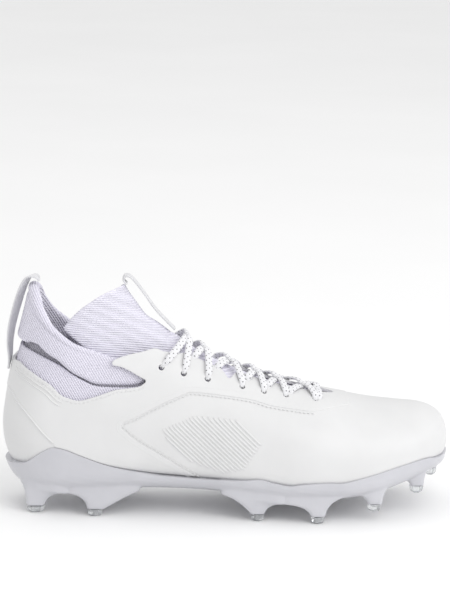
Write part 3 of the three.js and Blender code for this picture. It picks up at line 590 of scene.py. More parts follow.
def sheet(keep, outside, inside, start=0, end=LAST_SECTION, cell=CELL, edge=0.9, segments=4):
    """Points, faces and uv of a sheet on the last between two distances, where keep is above zero."""
    us = rows_between(start, end, cell)
    longest = max(OUTER_GIRTH.max(), INNER_GIRTH.max())
    acrosses = np.linspace(-1, 1, 2 * math.ceil(longest / cell) + 1)
    u, across = np.meshgrid(us, acrosses, indexing="ij")
    point = on_last(u, across, outside(u, across, on_last(u, across)))
    places, faces = clip_grid(keep(u, across, point) - edge)
    row_u = np.interp(places[:, 0], np.arange(len(us)), us)
    column_across = np.interp(places[:, 1], np.arange(len(acrosses)), acrosses)
    places = np.column_stack([row_u, column_across])
    kept, faces = merged(places, faces, on_last(row_u, column_across), MERGED * cell)
    u, across = kept.T
    on = on_last(u, across)
    outer = on_last(u, across, outside(u, across, on))
    inner = on_last(u, across, inside(u, across, on))
    return closed_sheet(u, across, faces, outer, inner, edge, segments)


def closed_sheet(u, across, faces, outer, inner, edge, segments):
    """Both sides of a sheet, joined round its edges by a rounded rim."""
    count = len(outer)
    uses = {}
    for face in faces:
        for a, b in zip(face, face[1:] + face[:1]):
            uses[(a, b)] = True
    rim = [(a, b) for a, b in uses if (b, a) not in uses]
    away = np.zeros_like(outer)
    up = unit(outer - inner)
    starts, ends = np.array(rim).T
    side = np.cross(outer[ends] - outer[starts], up[starts] + up[ends])
    np.add.at(away, starts, side)
    np.add.at(away, ends, side)
    away = unit(away)
    for _ in range(RIM_SMOOTHING):
        spread_out = 2 * away
        np.add.at(spread_out, starts, away[ends])
        np.add.at(spread_out, ends, away[starts])
        away = unit(spread_out)
    points, uvs = [outer, inner], [np.column_stack([along(u), girth(u, across)])] * 2
    all_faces = faces + [[i + count for i in face[::-1]] for face in faces]
    rim_points = sorted({i for pair in rim for i in pair})
    index = {i: k for k, i in enumerate(rim_points)}
    middle = (outer[rim_points] + inner[rim_points]) / 2
    half = (outer[rim_points] - inner[rim_points]) / 2
    levels = []
    for k in range(1, segments):
        angle = math.pi * k / segments
        levels.append(2 * count + (k - 1) * len(rim_points))
        points.append(middle + half * math.cos(angle) + away[rim_points] * edge * math.sin(angle))
        uvs.append(uvs[0][rim_points])
    for a, b in rim:
        chain_a = [a] + [level + index[a] for level in levels] + [a + count]
        chain_b = [b] + [level + index[b] for level in levels] + [b + count]
        for k in range(segments):
            all_faces.append([chain_b[k], chain_a[k], chain_a[k + 1], chain_b[k + 1]])
    return np.vstack(points), all_faces, np.vstack(uvs)


def fixed(distance):
    return lambda u, across, point: np.full(np.shape(u), float(distance))


# Materials
class Surface:
    """A material's nodes; each method that adds one gives back its output. Sizes here are in metres."""

    def __init__(self, name):
        self.material = bpy.data.materials.new(name)
        self.material.use_nodes = True
        self.nodes = self.material.node_tree.nodes
        self.place = self.add("TexCoord", "Object")

    def feed(self, socket, value):
        if isinstance(value, bpy.types.NodeSocket):
            self.material.node_tree.links.new(value, socket)
        else:
            socket.default_value = value

    def add(self, kind, output, **inputs):
        node = self.nodes.new(f"ShaderNode{kind}")
        for name, value in inputs.items():
            self.feed(node.inputs[name.replace("_", " ")], value)
        return node.outputs[output]

    def noise(self, scale, detail=3):
        return self.add("TexNoise", "Fac", Vector=self.place, Scale=scale, Detail=detail, Roughness=0.55)

    def ramp(self, value, low, high, stops=(0.3, 0.7)):
        colour = self.add("ValToRGB", "Color", Fac=value)
        for element, position, tint in zip(colour.node.color_ramp.elements, stops, (low, high)):
            element.position = position
            element.color = (*tint, 1)
        return colour

    def spread(self, value, low, high):
        return self.add("MapRange", "Result", Value=value, To_Min=low, To_Max=high)

    def bump(self, height, strength, distance):
        return self.add("Bump", "Normal", Height=height, Strength=strength, Distance=distance)

    def axis(self, vector, name):
        return self.add("SeparateXYZ", name, Vector=vector)

    def maths(self, operation, *values, kind="Math", output="Value"):
        node = self.nodes.new(f"ShaderNode{kind}")
        node.operation = operation
        for socket, value in zip(node.inputs, values):
            self.feed(socket, value)
        return node.outputs[output]

    def vector_maths(self, operation, *values):
        return self.maths(operation, *values, kind="VectorMath", output="Vector")

    def waves(self, value, turns):
        return self.maths("SINE", self.maths("MULTIPLY", value, turns))

    def finished(self, **inputs):
        for name, value in inputs.items():
            self.feed(self.nodes["Principled BSDF"].inputs[name.replace("_", " ")], value)
        return self.material


def moulded(name, cloud, low, high, gloss, rough, grain, relief, **inputs):
    """A clouded surface from three noises: cloud, gloss and grain are their scale and detail."""
    made = Surface(name)
    return made.finished(
        Base_Color=made.ramp(made.noise(*cloud), low, high),
        Roughness=made.spread(made.noise(*gloss), *rough),
        Normal=made.bump(made.noise(*grain), *relief),
        **inputs,
    )


def knit(name, light, dark, slope):
    """Twill knit: fine ribs that fall towards the toe by slope degrees in a side view."""
    made = Surface(name)
    turns = 2 * math.pi / KNIT_PITCH
    x, z = made.axis(made.place, "X"), made.axis(made.place, "Z")
    aside = made.maths("MULTIPLY", x, turns * math.sin(math.radians(slope)))
    phase = made.maths("MULTIPLY_ADD", z, turns * math.cos(math.radians(slope)), aside)
    ribs = made.maths("MULTIPLY_ADD", made.waves(z, turns * 0.8), 0.3, made.maths("SINE", phase))
    fuzz = made.noise(1400, 4)
    height = made.maths("ADD", ribs, fuzz)
    return made.finished(
        Base_Color=made.ramp(height, dark, light, (0.0, 0.9)),
        Roughness=made.spread(fuzz, 0.82, 0.98),
        Normal=made.bump(height, 0.8, 0.00035),
        Sheen_Weight=0.25,
        Sheen_Roughness=0.5,
    )


def ribbon():
    made = Surface("ribbon")
    fuzz = made.noise(1600)
    ribs = made.waves(made.axis(made.add("TexCoord", "UV"), "X"), 2 * math.pi / 0.0007)
    height = made.maths("ADD", ribs, fuzz)
    return made.finished(
        Base_Color=made.ramp(height, (0.66, 0.66, 0.68), (0.78, 0.78, 0.8), (0.0, 0.9)),
        Roughness=made.spread(fuzz, 0.38, 0.55),
        Normal=made.bump(height, 0.5, 0.0002),
        Sheen_Weight=0.3,
    )


def lace():
    """Flat woven lace with small dark dots in diagonal rows."""
    made = Surface("lace")
    uv = made.add("TexCoord", "UV")
    distances = []
    for shift in (0, 0.5):
        cells = made.vector_maths("MULTIPLY_ADD", uv, (1000 / 3.9, 1000 / 3.7, 0), (shift, shift, 0))
        off = made.vector_maths("SUBTRACT", made.vector_maths("FRACTION", cells), (0.5, 0.5, 0))
        distances.append(made.maths("LENGTH", off, kind="VectorMath"))
    fuzz = made.noise(2000)
    dots = made.maths("MULTIPLY_ADD", fuzz, 0.06, made.maths("MINIMUM", *distances))
    height = made.maths("ADD", made.waves(made.axis(uv, "X"), 2 * math.pi / 0.0008), fuzz)
    return made.finished(
        Base_Color=made.ramp(dots, (0.16, 0.16, 0.17), (0.82, 0.82, 0.84), (0.115, 0.15)),
        Roughness=made.spread(fuzz, 0.8, 0.95),
        Normal=made.bump(height, 0.5, 0.0002),
    )


SHELL = moulded(
    "shell", [26], (0.68, 0.68, 0.683), (0.72, 0.72, 0.723), [90], (0.4, 0.5), [1500, 4], (0.35, 0.00012),
    Specular_IOR_Level=0.45,
)
PLATE = moulded(
    "plate", [30], (0.53, 0.53, 0.565), (0.585, 0.585, 0.62), [160], (0.26, 0.38), [700], (0.12, 0.0001),
    Coat_Weight=0.25, Coat_Roughness=0.2,
)
CLEAR = moulded(
    "clear", [120], (0.8, 0.82, 0.84), (0.9, 0.91, 0.92), [300], (0.06, 0.18), [500], (0.2, 0.0001),
    Transmission_Weight=0.75, IOR=1.45,
)
FOAM = moulded(
    "insole", [1100, 4], (0.62, 0.62, 0.64), (0.74, 0.74, 0.76), [1100, 4], (0.85, 0.95), [1100, 4],
    (0.5, 0.0002),
)
KNIT = knit("knit", (0.84, 0.82, 0.92), (0.68, 0.66, 0.77), 60)
TONGUE_KNIT = knit("tongue_knit", (0.88, 0.865, 0.96), (0.76, 0.74, 0.85), 6)
# Dark knit for the sheet tucked under the collar's fold: painted shade for the deep groove between the band
# and the ankle panel, not a darker cloth
GROOVE_SHADE_KNIT = knit("groove_shade", (0.42, 0.41, 0.46), (0.3, 0.29, 0.34), 60)
RIBBON = ribbon()
LACE = lace()


def piece(name, made, material, slot, nodes=()):
    points, faces, uv = made
    made_piece = mesh_object(name, points, faces, uv, slot, nodes)
    made_piece.data.materials.append(material)
    return made_piece


# Shell: the lasted base, and the quarters with the eyestay laid over it
def make_shell():
    def keep(u, across, point):
        return np.minimum(clear_of_openings(u, across, point), lasting_margin(u, across, point))

    def outside(u, across, point):
        return -RAND_TUCK * smoothstep(-above_line(point, PLATE_CURVE), -0.5, 0.5)

    return sheet(keep, outside, fixed(-SHELL_WALL), end=20, edge=0.6)


def make_quarters():
    edge = QUARTER_CURVE
    zone = [*edge, [edge[-1][0], SKY], [BACK, SKY], [BACK, GROUND], [edge[0][0], GROUND]]
    counter = [*COUNTER_CURVE, [COUNTER_CURVE[-1][0], GROUND], [BACK, GROUND], [BACK, COUNTER_CURVE[0][1]]]

    def keep(u, across, point):
        x, z = point[..., 0], point[..., 2]
        clear = np.minimum(clear_of_openings(u, across, point), inside_distance(x, z, zone))
        clear = np.minimum(clear, -inside_distance(x, z, counter))
        return np.minimum(clear, above_line(point, PLATE_CURVE))

    return sheet(keep, fixed(QUARTER_STEP), fixed(-SHELL_WALL / 4), start=4, end=20, edge=0.4, segments=4)


piece("shell", make_shell(), SHELL, "shell", ["upper"])
piece("quarters", make_quarters(), SHELL, "shell")

# Strips
def headings(points):
    return unit(np.gradient(points, axis=0))


def strip(points, widths, faces_out, width, thickness, corners=14, square=2.6):
    """A flat rounded cord; width and thickness are numbers or one value a point."""
    count = len(points)
    width = np.broadcast_to(width, count)
    thickness = np.broadcast_to(thickness, count)
    across, up = (share / 2 for share in rounded(np.arange(corners) / corners * 2 * math.pi, square))
    rings = points[:, None] + widths[:, None] * across[None, :, None] * width[:, None, None]
    rings = rings + faces_out[:, None] * up[None, :, None] * thickness[:, None, None]
    made, faces = loft(rings)
    lengths = lengths_of(points)
    uv = np.stack([np.broadcast_to(lengths[:, None], (count, corners)), across[None, :] * width[:, None]], -1)
    uv = np.vstack([uv.reshape(-1, 2), [[0, 0], [lengths[-1], 0]]])
    return made, outwards(made, faces), uv


# Seams, stitches and ribs on the shell
def locate(xs, zs, side):
    """Section number and across of the last's surface at side-view points on one side."""
    half = slice(2, SIDE - 2) if side < 0 else slice(SIDE + 3, 2 * SIDE - 1)
    table = POINTS[:, half][..., [0, 2]]
    facing = NORMALS[:, half, 1] * side
    start = half.start
    us, acrosses = [], []
    for x, z in zip(xs, zs):
        away = (table[..., 0] - x) ** 2 + (table[..., 1] - z) ** 2 + np.where(facing < 0.05, 1e6, 0)
        i, j = np.unravel_index(np.argmin(away), away.shape)
        i, j = min(max(i, 1), len(POINTS) - 2), j + start
        du = (POINTS[i + 1, j] - POINTS[i - 1, j])[[0, 2]] / 2
        da = (POINTS[i, j + 1] - POINTS[i, j - 1])[[0, 2]] / 2
        off = np.array([x, z]) - POINTS[i, j][[0, 2]]
        step = np.clip(np.linalg.lstsq(np.column_stack([du, da]), off, rcond=None)[0], -1, 1)
        us.append((i + step[0]) / STEPS)
        acrosses.append((j + step[1]) / SIDE - 1)
    return np.array(us), np.array(acrosses)


def evenly(line, step):
    """Points along a line, about a step apart."""
    lengths = lengths_of(line)
    wanted = np.linspace(0, lengths[-1], max(2, round(lengths[-1] / step)))
    return np.column_stack([np.interp(wanted, lengths, line[:, k]) for k in range(line.shape[1])])


def beside(line, distance):
    """A side-view line moved sideways, to its left for a distance above zero."""
    ahead = headings(line)
    return line + np.column_stack([-ahead[:, 1], ahead[:, 0]]) * distance


def on_shell(line, side, level):
    """Points and normals at a level over the last, along a side-view line on one side."""
    u, across = locate(line[:, 0], line[:, 1], side)
    return on_last(u, across, level), normal(u, across)


def bead(line, side, width, height, level, step=1.5):
    """A low rounded ridge on the shell along a side-view line."""
    points, out = on_shell(evenly(line, step), side, level)
    widths = unit(np.cross(headings(points), out))
    place_in_row = np.arange(len(points))
    taper = np.minimum(1, np.minimum(place_in_row, place_in_row[::-1]) / 2 + 0.35)
    return strip(points, widths, out, width * taper, 2 * height * taper, 8, 2)


def stitches(line, side, length, gap, width, level):
    """A row of single stitches along a side-view line."""
    points, out = on_shell(evenly(line, length + gap), side, level)
    shares = np.array([-0.5, -0.42, 0, 0.42, 0.5])
    taper = np.array([0.3, 0.85, 1, 0.85, 0.3])
    parts = []
    for point, forward, up in zip(points, headings(points), out):
        run = point + forward * (shares * length)[:, None]
        widths = np.repeat(np.cross(forward, up)[None], len(shares), 0)
        ups = np.repeat(up[None], len(shares), 0)
        parts.append(strip(run, widths, ups, width * taper, width * 1.3 * taper, 6, 2))
    return join(parts)


# The field of ribs on the quarter in side view, in millimetres, and the slope of its ribs
RIB_FIELD = np.array([
    [102, 59.7], [124, 69.4], [152.7, 67.4], [167, 53], [156.5, 36], [144, 32], [121.6, 39.4], [105, 55.8],
])
RIB_PITCH = 3.2
RIB_SLOPE = math.radians(-42)


def rib_lines():
    ahead = np.array([math.cos(RIB_SLOPE), math.sin(RIB_SLOPE)])
    for x in np.arange(70, 190, RIB_PITCH):
        line = np.array([x, 70]) + np.linspace(-10, 60, 141)[:, None] * ahead
        line = line[inside_distance(*line.T, RIB_FIELD) > 0]
        if len(line) > 12:
            yield line


def make_trim(side):
    """Raised lines on one side: round the vamp's point, under the topline, and the field of ribs."""
    diamond = QUARTER_CURVE[6:-12]
    rear = TOPLINE_CURVE[6:34]
    lines = [
        bead(beside(diamond, 3), side, 1.2, 0.5, 0),
        bead(beside(rear, -4), side, 1.1, 0.5, QUARTER_STEP),
        bead(beside(rear, -6.5), side, 1.1, 0.5, QUARTER_STEP),
        bead(COUNTER_CURVE[5:-2] + [1.2, 0.6], side, 1.1, 0.55, QUARTER_STEP),
        stitches(beside(diamond, -1.3), side, 1.7, 1, 0.6, QUARTER_STEP),
        stitches(beside(TOPLINE_CURVE[4:-4], -1.9), side, 1.7, 1, 0.6, QUARTER_STEP),
    ]
    ribs = [bead(line, side, 1.6, 0.55, 0) for line in rib_lines()]
    return join(lines + ribs)


for side, name in ((-1, "outer"), (1, "inner")):
    piece(f"trim_{name}", make_trim(side), SHELL, "shell")

# Ankle panel, collar and tongue
PANEL_INSIDE = SHELL_WALL + GAP
COLLAR_INSIDE = PANEL_INSIDE + PANEL_WALL + GAP
TONGUE_INSIDE = SHELL_WALL + 2 * GAP
TONGUE_SIDE = COLLAR_INSIDE + COLLAR_WALL + 2 * GAP


def make_panel():
    def keep(u, across, point):
        clear = np.minimum(below_line(point, PANEL_CURVE), above_line(point, lowered(TOPLINE_CURVE, TUCK)))
        return np.minimum(clear, PANEL_CURVE[-1][0] - point[..., 0])

    return sheet(keep, fixed(-PANEL_INSIDE), fixed(-PANEL_INSIDE - PANEL_WALL), start=KNIT_START, edge=0.8)


def sinking(point):
    return smoothstep(point[..., 0], *place(PANEL_FRONT))


def band_outside(u, across, point):
    under_rim = below_line(point, RIM_CURVE)
    groove = BINDING_GROOVE * np.exp(-(((under_rim - BINDING_WIDTH) / 0.9) ** 2)) * (1 - sinking(point))
    return lerp(COLLAR_SWELL, -SHELL_WALL - 2 * GAP, sinking(point)) - groove


def band_inside(u, across, point):
    return lerp(COLLAR_SWELL - COLLAR_PAD, -COLLAR_INSIDE - COLLAR_WALL, sinking(point))


def make_collar():
    front = FOLD_CURVE[-1][0]

    def band(u, across, point):
        clear = np.minimum(above_line(point, FOLD_CURVE), below_line(point, RIM_CURVE))
        return np.minimum(clear, front - point[..., 0])

    # The sheet tucked in under the fold, where the dark knit paints the shade in the groove below the band
    def groove_shade_sheet(u, across, point):
        clear = np.minimum(
            above_line(point, lowered(FOLD_CURVE, TUCK)), below_line(point, lowered(FOLD_CURVE, -6))
        )
        return np.minimum(clear, front - point[..., 0])

    inside = -COLLAR_INSIDE - COLLAR_WALL
    return (
        sheet(band, band_outside, band_inside, start=KNIT_START, cell=0.8, edge=2.6, segments=10),
        sheet(groove_shade_sheet, fixed(-COLLAR_INSIDE), fixed(inside), start=KNIT_START, edge=1),
    )


def tongue_outside(u, across, point):
    over_rim = point[..., 2] - height_of(RIM_CURVE, point[..., 0])
    shallow = np.maximum(
        smoothstep(over_rim, GAP, BODY_HEIGHT / 3), smoothstep(point[..., 0], place(0.33), place(0.42))
    )
    return -lerp(TONGUE_SIDE, TONGUE_INSIDE, shallow)


def make_tongue():
    rest = np.vstack([[[place(0.5), rise(1.02)], [place(0.76), rise(0.8)]], side_line(TONGUE_FOOT)])
    outer_top = side_line(TONGUE_TOP)
    inner_top = side_line([[x, z - TONGUE_DROP] for x, z in TONGUE_TOP[:-2]] + TONGUE_TOP[-2:])

    def keep(u, across, point):
        x, y, z = point[..., 0], point[..., 1], point[..., 2]
        outer = inside_distance(x, z, np.vstack([outer_top, rest]))
        inner = inside_distance(x, z, np.vstack([inner_top, rest]))
        return lerp(outer, inner, smoothstep(y, 0, 12))

    def inside(u, across, point):
        return tongue_outside(u, across, point) - TONGUE_WALL

    return sheet(keep, tongue_outside, inside, start=4, edge=1.4, segments=6)


piece("ankle_knit", make_panel(), KNIT, "knit", ["ankle_panel"])
band, groove_shade = make_collar()
collar = piece("collar_padded", band, KNIT, "knit", ["collar"])
# The dark sheet under the fold: painted shade in the groove between the collar and the ankle panel
piece("collar_groove_shade", groove_shade, GROOVE_SHADE_KNIT, "knit")
piece("tongue_knit", make_tongue(), TONGUE_KNIT, "knit", ["tongue"])


def make_insole():
    top = SHELL_WALL + GAP + INSOLE_THICKNESS
    shares = np.linspace(-1, 1, 25)
    rings = []
    for u in rows_between(1, 15, 4):
        sizes = {name: float(value[0]) for name, value in section(u).items()}
        level = rise(sizes["baseZ"]) + top
        edges = []
        for side in (-1, 1):
            acrosses = side * np.linspace(0.4, 1, 200)
            heights = on_last(u, acrosses, -SHELL_WALL - GAP)[:, 2]
            edges.append(side * np.interp(-level, -heights, np.abs(acrosses)))
        under = np.concatenate([np.linspace(edges[0], -1, 13), np.linspace(1, edges[1], 13)[1:]])
        bottom = on_last(u, under, -SHELL_WALL - GAP)
        bottom[:, 2] = np.maximum(bottom[:, 2], rise(sizes["baseZ"]) - GAP)
        left, right = bottom[0], bottom[-1]
        upper = right + (left - right) * ((1 + shares[1:-1]) / 2)[:, None]
        rings.append(np.vstack([bottom, upper]))
    points, faces = loft(rings)
    return points, outwards(points, faces), points[:, :2]


piece("insole_lined", make_insole(), FOAM, "insole", ["insole"])


# Sole plate: a cup round the foot of the shell with the studs moulded on
def plate_outside(u, across):
    point, facing = on_last(u, across), normal(u, across)
    under = lerp(PLATE_HEEL, PLATE_SOLE, smoothstep(point[..., 0], place(0.25), place(0.6)))
    return lerp(PLATE_EDGE - RAND_STEP + GAP, under, smoothstep(-facing[..., 2], 0.1, 0.8))


def block(distance, cell):
    """The last as a closed solid, moved out by a distance."""
    us = rows_between(0, LAST_SECTION, cell)
    us[0] = 0.02
    acrosses = np.linspace(-1, 1, 2 * math.ceil(BLOCK_GIRTH / cell) + 1)[:-1]
    u, across = np.meshgrid(us, acrosses, indexing="ij")
    points, faces = loft(on_last(u, across, distance(u, across)))
    return points, outwards(points, faces)


def wall_line(side):
    """The plate's wall just under its rim, in top view: x and y on one side of the foot."""
    level = rise(0.13)
    found = []
    for u in np.linspace(0.1, 15.5, 300):
        across = side * np.linspace(0, 1, 121)
        ring = on_last(u, across, plate_outside(u, across))
        under = np.nonzero((ring[:-1, 2] > level) & (ring[1:, 2] <= level))[0]
        if len(under):
            k = under[-1]
            found.append(lerp(ring[k], ring[k + 1], (ring[k, 2] - level) / (ring[k, 2] - ring[k + 1, 2])))
    found = np.array(found)
    return found[np.argsort(found[:, 0])]


WALLS = {side: wall_line(side) for side in (-1, 1)}


def turned(points, x, y, turn):
    angle = math.radians(turn)
    c, s = math.cos(angle), math.sin(angle)
    matrix = np.array([[c, s, 0], [-s, c, 0], [0, 0, 1]])
    return points @ matrix + [x * LENGTH, y * BALL_WIDTH, 0]


def make_stud(name, x, y, foot_share, turn, size, aft, fore):
    """A stud's body: it widens upwards into webs that run aft and fore along the plate's edge."""
    levels, corners = 12, 40
    side = 1 if y > 0 else -1
    edge = 0 if name == "toe" else 1
    half = TIP_WIDTH / 2 * size
    foot = foot_share * STUD_HEIGHT + TIP_HEIGHT + GAP
    along_web, over_web = rounded(np.arange(corners) / corners * 2 * math.pi, 5)
    reach, climb, straight = (np.where(along_web > 0, f, a) for f, a in zip(fore, aft))
    climb = lerp(aft[1], fore[1], (along_web + 1) / 2)

    def ring(up, raised):
        flare = lerp(1 - math.cos(up), math.sin(up), straight)
        xs = place(x) + along_web * (half + reach * STUD_HEIGHT * flare)
        wall = np.interp(xs, WALLS[side][:, 0], WALLS[side][:, 1])
        own = y * BALL_WIDTH
        outer = lerp(own + side * half, wall - side * EDGE_INSET, edge * flare)
        inner = lerp(own - side * half, wall - side * WEB_WIDTH, edge * flare)
        share = (side * over_web + 1) / 2
        zs = foot + climb * STUD_HEIGHT * math.sin(up) + raised
        return np.column_stack([xs, lerp(inner, outer, share), zs])

    rings = [ring(math.pi / 2 * k / levels, 0) for k in range(levels + 1)]
    rings.append(ring(math.pi / 2, STUD_HEIGHT / 2))
    points, faces = loft(rings)
    return points, outwards(points, faces)


def side_block(line):
    """A solid over everything above a side-view line."""
    ring = [*line.tolist(), [FRONT, line[-1][1]], [FRONT, SKY], [BACK, SKY], [BACK, line[0][1]]]
    sides = [[[x, y, z] for x, z in ring] for y in (-REACH, REACH)]
    count = len(ring)
    faces = [list(range(count)), list(range(2 * count - 1, count - 1, -1))]
    for k in range(count):
        j = (k + 1) % count
        faces.append([j, k, k + count, j + count])
    points = np.array(sides).reshape(-1, 3)
    return points, outwards(points, faces)


def cut(target, points, faces):
    cutter = mesh_object("cutter", points, faces)
    modifier = target.modifiers.new("cut", "BOOLEAN")
    modifier.operation = "DIFFERENCE"
    modifier.solver = "MANIFOLD"
    modifier.object = cutter
    bpy.context.view_layer.update()
    applied(target)
    bpy.data.objects.remove(cutter)


def make_plate():
    points, faces = block(plate_outside, 3)
    plate = mesh_object("plate_moulded", points, faces)
    cut(plate, *side_block(lowered(PLATE_CURVE, -RAND_ABOVE)))
    cup = np.array([vertex.co for vertex in plate.data.vertices]) * 1000 - SHIFT
    parts = [(cup, [list(face.vertices) for face in plate.data.polygons])]
    parts += [make_stud(*stud) for stud in STUDS]
    points, faces, _ = join([(points, faces, points[:, :2]) for points, faces in parts])
    bpy.data.objects.remove(plate)
    plate = mesh_object("plate_moulded", points, faces)
    remesh = plate.modifiers.new("remesh", "REMESH")
    remesh.mode = "VOXEL"
    remesh.voxel_size = VOXEL / 1000
    smooth = plate.modifiers.new("smooth", "SMOOTH")
    smooth.factor = 0.5
    smooth.iterations = 6
    applied(plate)
    cut(plate, *block(lambda u, across: np.full(np.shape(u), GAP - RAND_STEP), 2.5))
    cut(plate, *side_block(lowered(PLATE_CURVE, GAP)))
    plate.data.polygons.foreach_set("use_smooth", np.ones(len(plate.data.polygons), bool))
    plate.data.materials.clear()
    plate.data.materials.append(PLATE)
    plate.data.set_sharp_from_angle(angle=math.radians(50))
    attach(plate, "root")
    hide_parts("sole_plate")


make_plate()


TIP_PROFILE = [  # height and radius as shares, from the hollow in its foot to its top
    [0.16, 0.3], [0.0, 0.56], [0.0, 0.68], [0.12, 0.82], [0.4, 0.92], [0.92, 1.0], [1.0, 0.96],
]


def make_tip(name, x, y, foot_share, turn, size):
    """A clear six-sided crown, hollowed a little at its foot."""
    rings = []
    for share, width in TIP_PROFILE:
        radius = TIP_WIDTH / 2 * size * width
        angles = (np.arange(6) + 0.5) * math.pi / 3
        z = np.full(6, foot_share * STUD_HEIGHT + share * TIP_HEIGHT)
        ring = np.column_stack([radius * np.cos(angles), radius * np.sin(angles), z])
        rings.append(turned(ring, x, y, turn))
    points, faces = loft(rings)
    node = f"stud_tip_{name}"
    made = piece(f"{node}_clear", (points, outwards(points, faces), None), CLEAR, "stud_tip", [node])
    made.data.polygons.foreach_set("use_smooth", np.zeros(len(made.data.polygons), bool))


for stud in STUDS:
    make_tip(*stud[:6])


# Laces and loops
def strand(start, end, lift, into_hole):
    """A lace strand from an eyelet over the throat, down into an eyelet or under the far edge."""
    clear = QUARTER_STEP + 1.5 * GAP + LACE_THICKNESS / 2
    t = np.linspace(0, 1, 40)
    across = lerp(start[1], end[1], t)
    u = lerp(start[0], end[0], t ** LACE_EASE)
    ends = smoothstep(t, 0, 0.09) * (1 - smoothstep(t, 0.91, 1))
    level = lerp(clear - LACE_SINK, clear, smoothstep(np.abs(across), 0, THROAT_EDGE / 2))
    depth = lerp(-1.3, level + lift * np.exp(-((across / 0.08) ** 2)), ends)
    points = on_last(u, across, depth)
    out = normal(u, across)
    widths = unit(np.cross(headings(points), out))
    out = np.cross(widths, headings(points))
    near = 1 - smoothstep(t, 0, 0.12)
    far = smoothstep(t, 0.88, 1) if into_hole else np.zeros_like(t)
    return strip(points, widths, out, LACE_WIDTH * (1 - 0.4 * (near + far)), LACE_THICKNESS)


def make_crossing(k):
    lower_u, below = EYELETS[k + 1]
    upper_u, beside = EYELETS[k]
    share = 1 if k == 0 else (below + THROAT_EDGE + 0.02) / (below + beside)
    strands = []
    for side, lift in ((-1, LACE_RISE), (1, 0)):
        start = (lower_u, side * below)
        end = (lerp(lower_u, upper_u, share), side * lerp(below, -beside, share))
        strands.append(strand(start, end, lift, k == 0))
    return join(strands)


for k in range(len(EYELETS) - 1):
    piece(f"lace_{k + 1}", make_crossing(k), LACE, "lace", [f"lace_cross_{k + 1}"])
u, across = EYELETS[-1][0] - 0.1, EYELETS[-1][1]
piece("lace_bottom", strand((u, -across), (u, across), 0, True), LACE, "lace", ["lace_bar"])


def make_loop(table, heel, twist):
    """A pull loop of ribbon over the ridge or round the heel, turned by twist degrees in its middle."""
    ends = ("baseX", "baseZ") if heel else ("topX", "topZ")
    side = -1 if heel else 1

    def centre(u):
        sizes = sizes_at(u)
        return np.array([place(sizes[ends[0]]), 0, rise(sizes[ends[1]])])

    route = []
    for u, distance in table:
        ahead = unit(centre(u + 0.02) - centre(u - 0.02))
        out = np.array([side * ahead[2], 0, -side * ahead[0]])
        route.append(centre(u) + out * distance * LOOP_BOW)
    points = smooth_line(route, 8)
    angle = np.radians(twist * np.sin(np.pi * np.linspace(0, 1, len(points))))
    widths = np.column_stack([np.sin(angle), np.cos(angle), np.zeros(len(points))])
    out = unit(np.cross(widths, headings(points)))
    return strip(points, widths, out, LOOP_WIDTH, LOOP_THICKNESS, 20, 5)


def sizes_at(u):
    """The last's sizes at one section number, which may lie past the last section."""
    i = min(max(math.floor(u), 0), LAST_SECTION - 1)
    return dict(zip(COLUMNS, spline(*(ROWS[i + k] for k in range(4)), u - i)))


piece("heel_ribbon", make_loop(HEEL_LOOP, True, HEEL_TWIST), RIBBON, "ribbon", ["heel_loop"])
piece("tongue_ribbon", make_loop(TONGUE_LOOP, False, 0), RIBBON, "ribbon", ["tongue_loop"])


# Floor, light and camera
def make_floor():
    mesh = bpy.data.meshes.new("floor")
    mesh.from_pydata([(-6, -4, 0), (6, -4, 0), (6, 12, 0), (-6, 12, 0)], [], [(0, 1, 2, 3)])
    floor = bpy.data.objects.new("floor", mesh)
    bpy.context.scene.collection.objects.link(floor)
    made = Surface("floor")
    tint = made.ramp(made.noise(3), (0.94, 0.94, 0.94), (0.96, 0.96, 0.96))
    mesh.materials.append(made.finished(Base_Color=tint, Roughness=0.9))


make_floor()


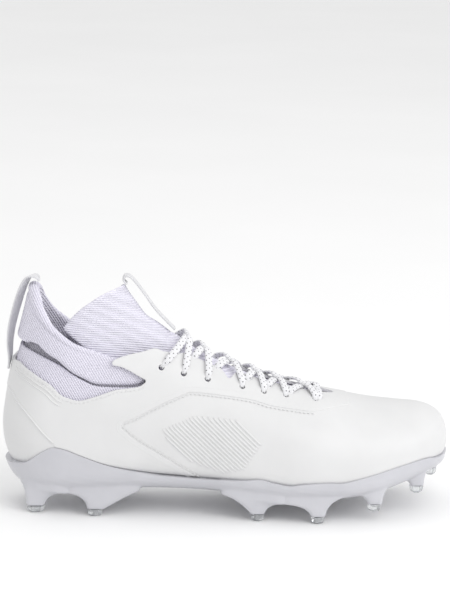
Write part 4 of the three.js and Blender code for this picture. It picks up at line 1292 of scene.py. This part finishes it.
LIGHTS = [  # name, place, aim, size and power
    ["key", (0.7, -1.5, 1.8), (0, 0, 0.05), (1.4, 1.4), 11],
    ["fill", (1.6, -0.9, 1.0), (0, 0, 0.05), (1.4, 1.0), 10],
    ["top", (0.1, 0.5, 2.2), (0, 0, 0), (2.0, 2.0), 4],
]
for name, spot, aim, size, power in LIGHTS:
    light = bpy.data.lights.new(name, "AREA")
    light.shape = "RECTANGLE"
    light.size, light.size_y = size
    light.energy = power
    lamp = bpy.data.objects.new(name, light)
    lamp.location = spot
    lamp.rotation_euler = (Vector(aim) - Vector(spot)).to_track_quat("-Z", "Y").to_euler()
    bpy.context.scene.collection.objects.link(lamp)
world = bpy.data.worlds.new("studio")
world.use_nodes = True
world.node_tree.nodes["Background"].inputs["Color"].default_value = (1, 1, 1, 1)
world.node_tree.nodes["Background"].inputs["Strength"].default_value = 0.84
bpy.context.scene.world = world
bpy.context.scene.view_settings.view_transform = "Standard"

# The camera: where the photograph was taken from
ELEVATION = math.radians(15)
YAW = math.radians(3)  # the toe points away
ROLL = math.radians(1.2)
DISTANCE = 1500
FOCAL = 2291  # in pixels of the photograph
LOOK_AT = (143.8, 0, 70.2)
LOWER = 100  # how many pixels below the middle LOOK_AT falls
PICTURE = 600  # the photograph's long side


def make_camera():
    back = Vector((
        -math.sin(YAW) * math.cos(ELEVATION), -math.cos(YAW) * math.cos(ELEVATION), math.sin(ELEVATION),
    ))
    right = (-back).cross(Vector((0, 0, 1))).normalized()
    up = right.cross(-back)
    pitch = math.atan(LOWER / FOCAL)
    ahead = -back * math.cos(pitch) + up * math.sin(pitch)
    up = up * math.cos(pitch) + back * math.sin(pitch)
    side = right * math.cos(ROLL) + up * math.sin(ROLL)
    up = up * math.cos(ROLL) - right * math.sin(ROLL)
    data = bpy.data.cameras.new("camera")
    data.sensor_width = 36
    data.sensor_fit = "AUTO"
    data.lens = 36 * FOCAL / PICTURE
    camera = bpy.data.objects.new("camera", data)
    bpy.context.scene.collection.objects.link(camera)
    matrix = Matrix((side, up, -ahead)).transposed().to_4x4()
    matrix.translation = Vector(to_row(LOOK_AT)) + back * DISTANCE / 1000
    camera.matrix_world = matrix
    bpy.context.scene.camera = camera


make_camera()
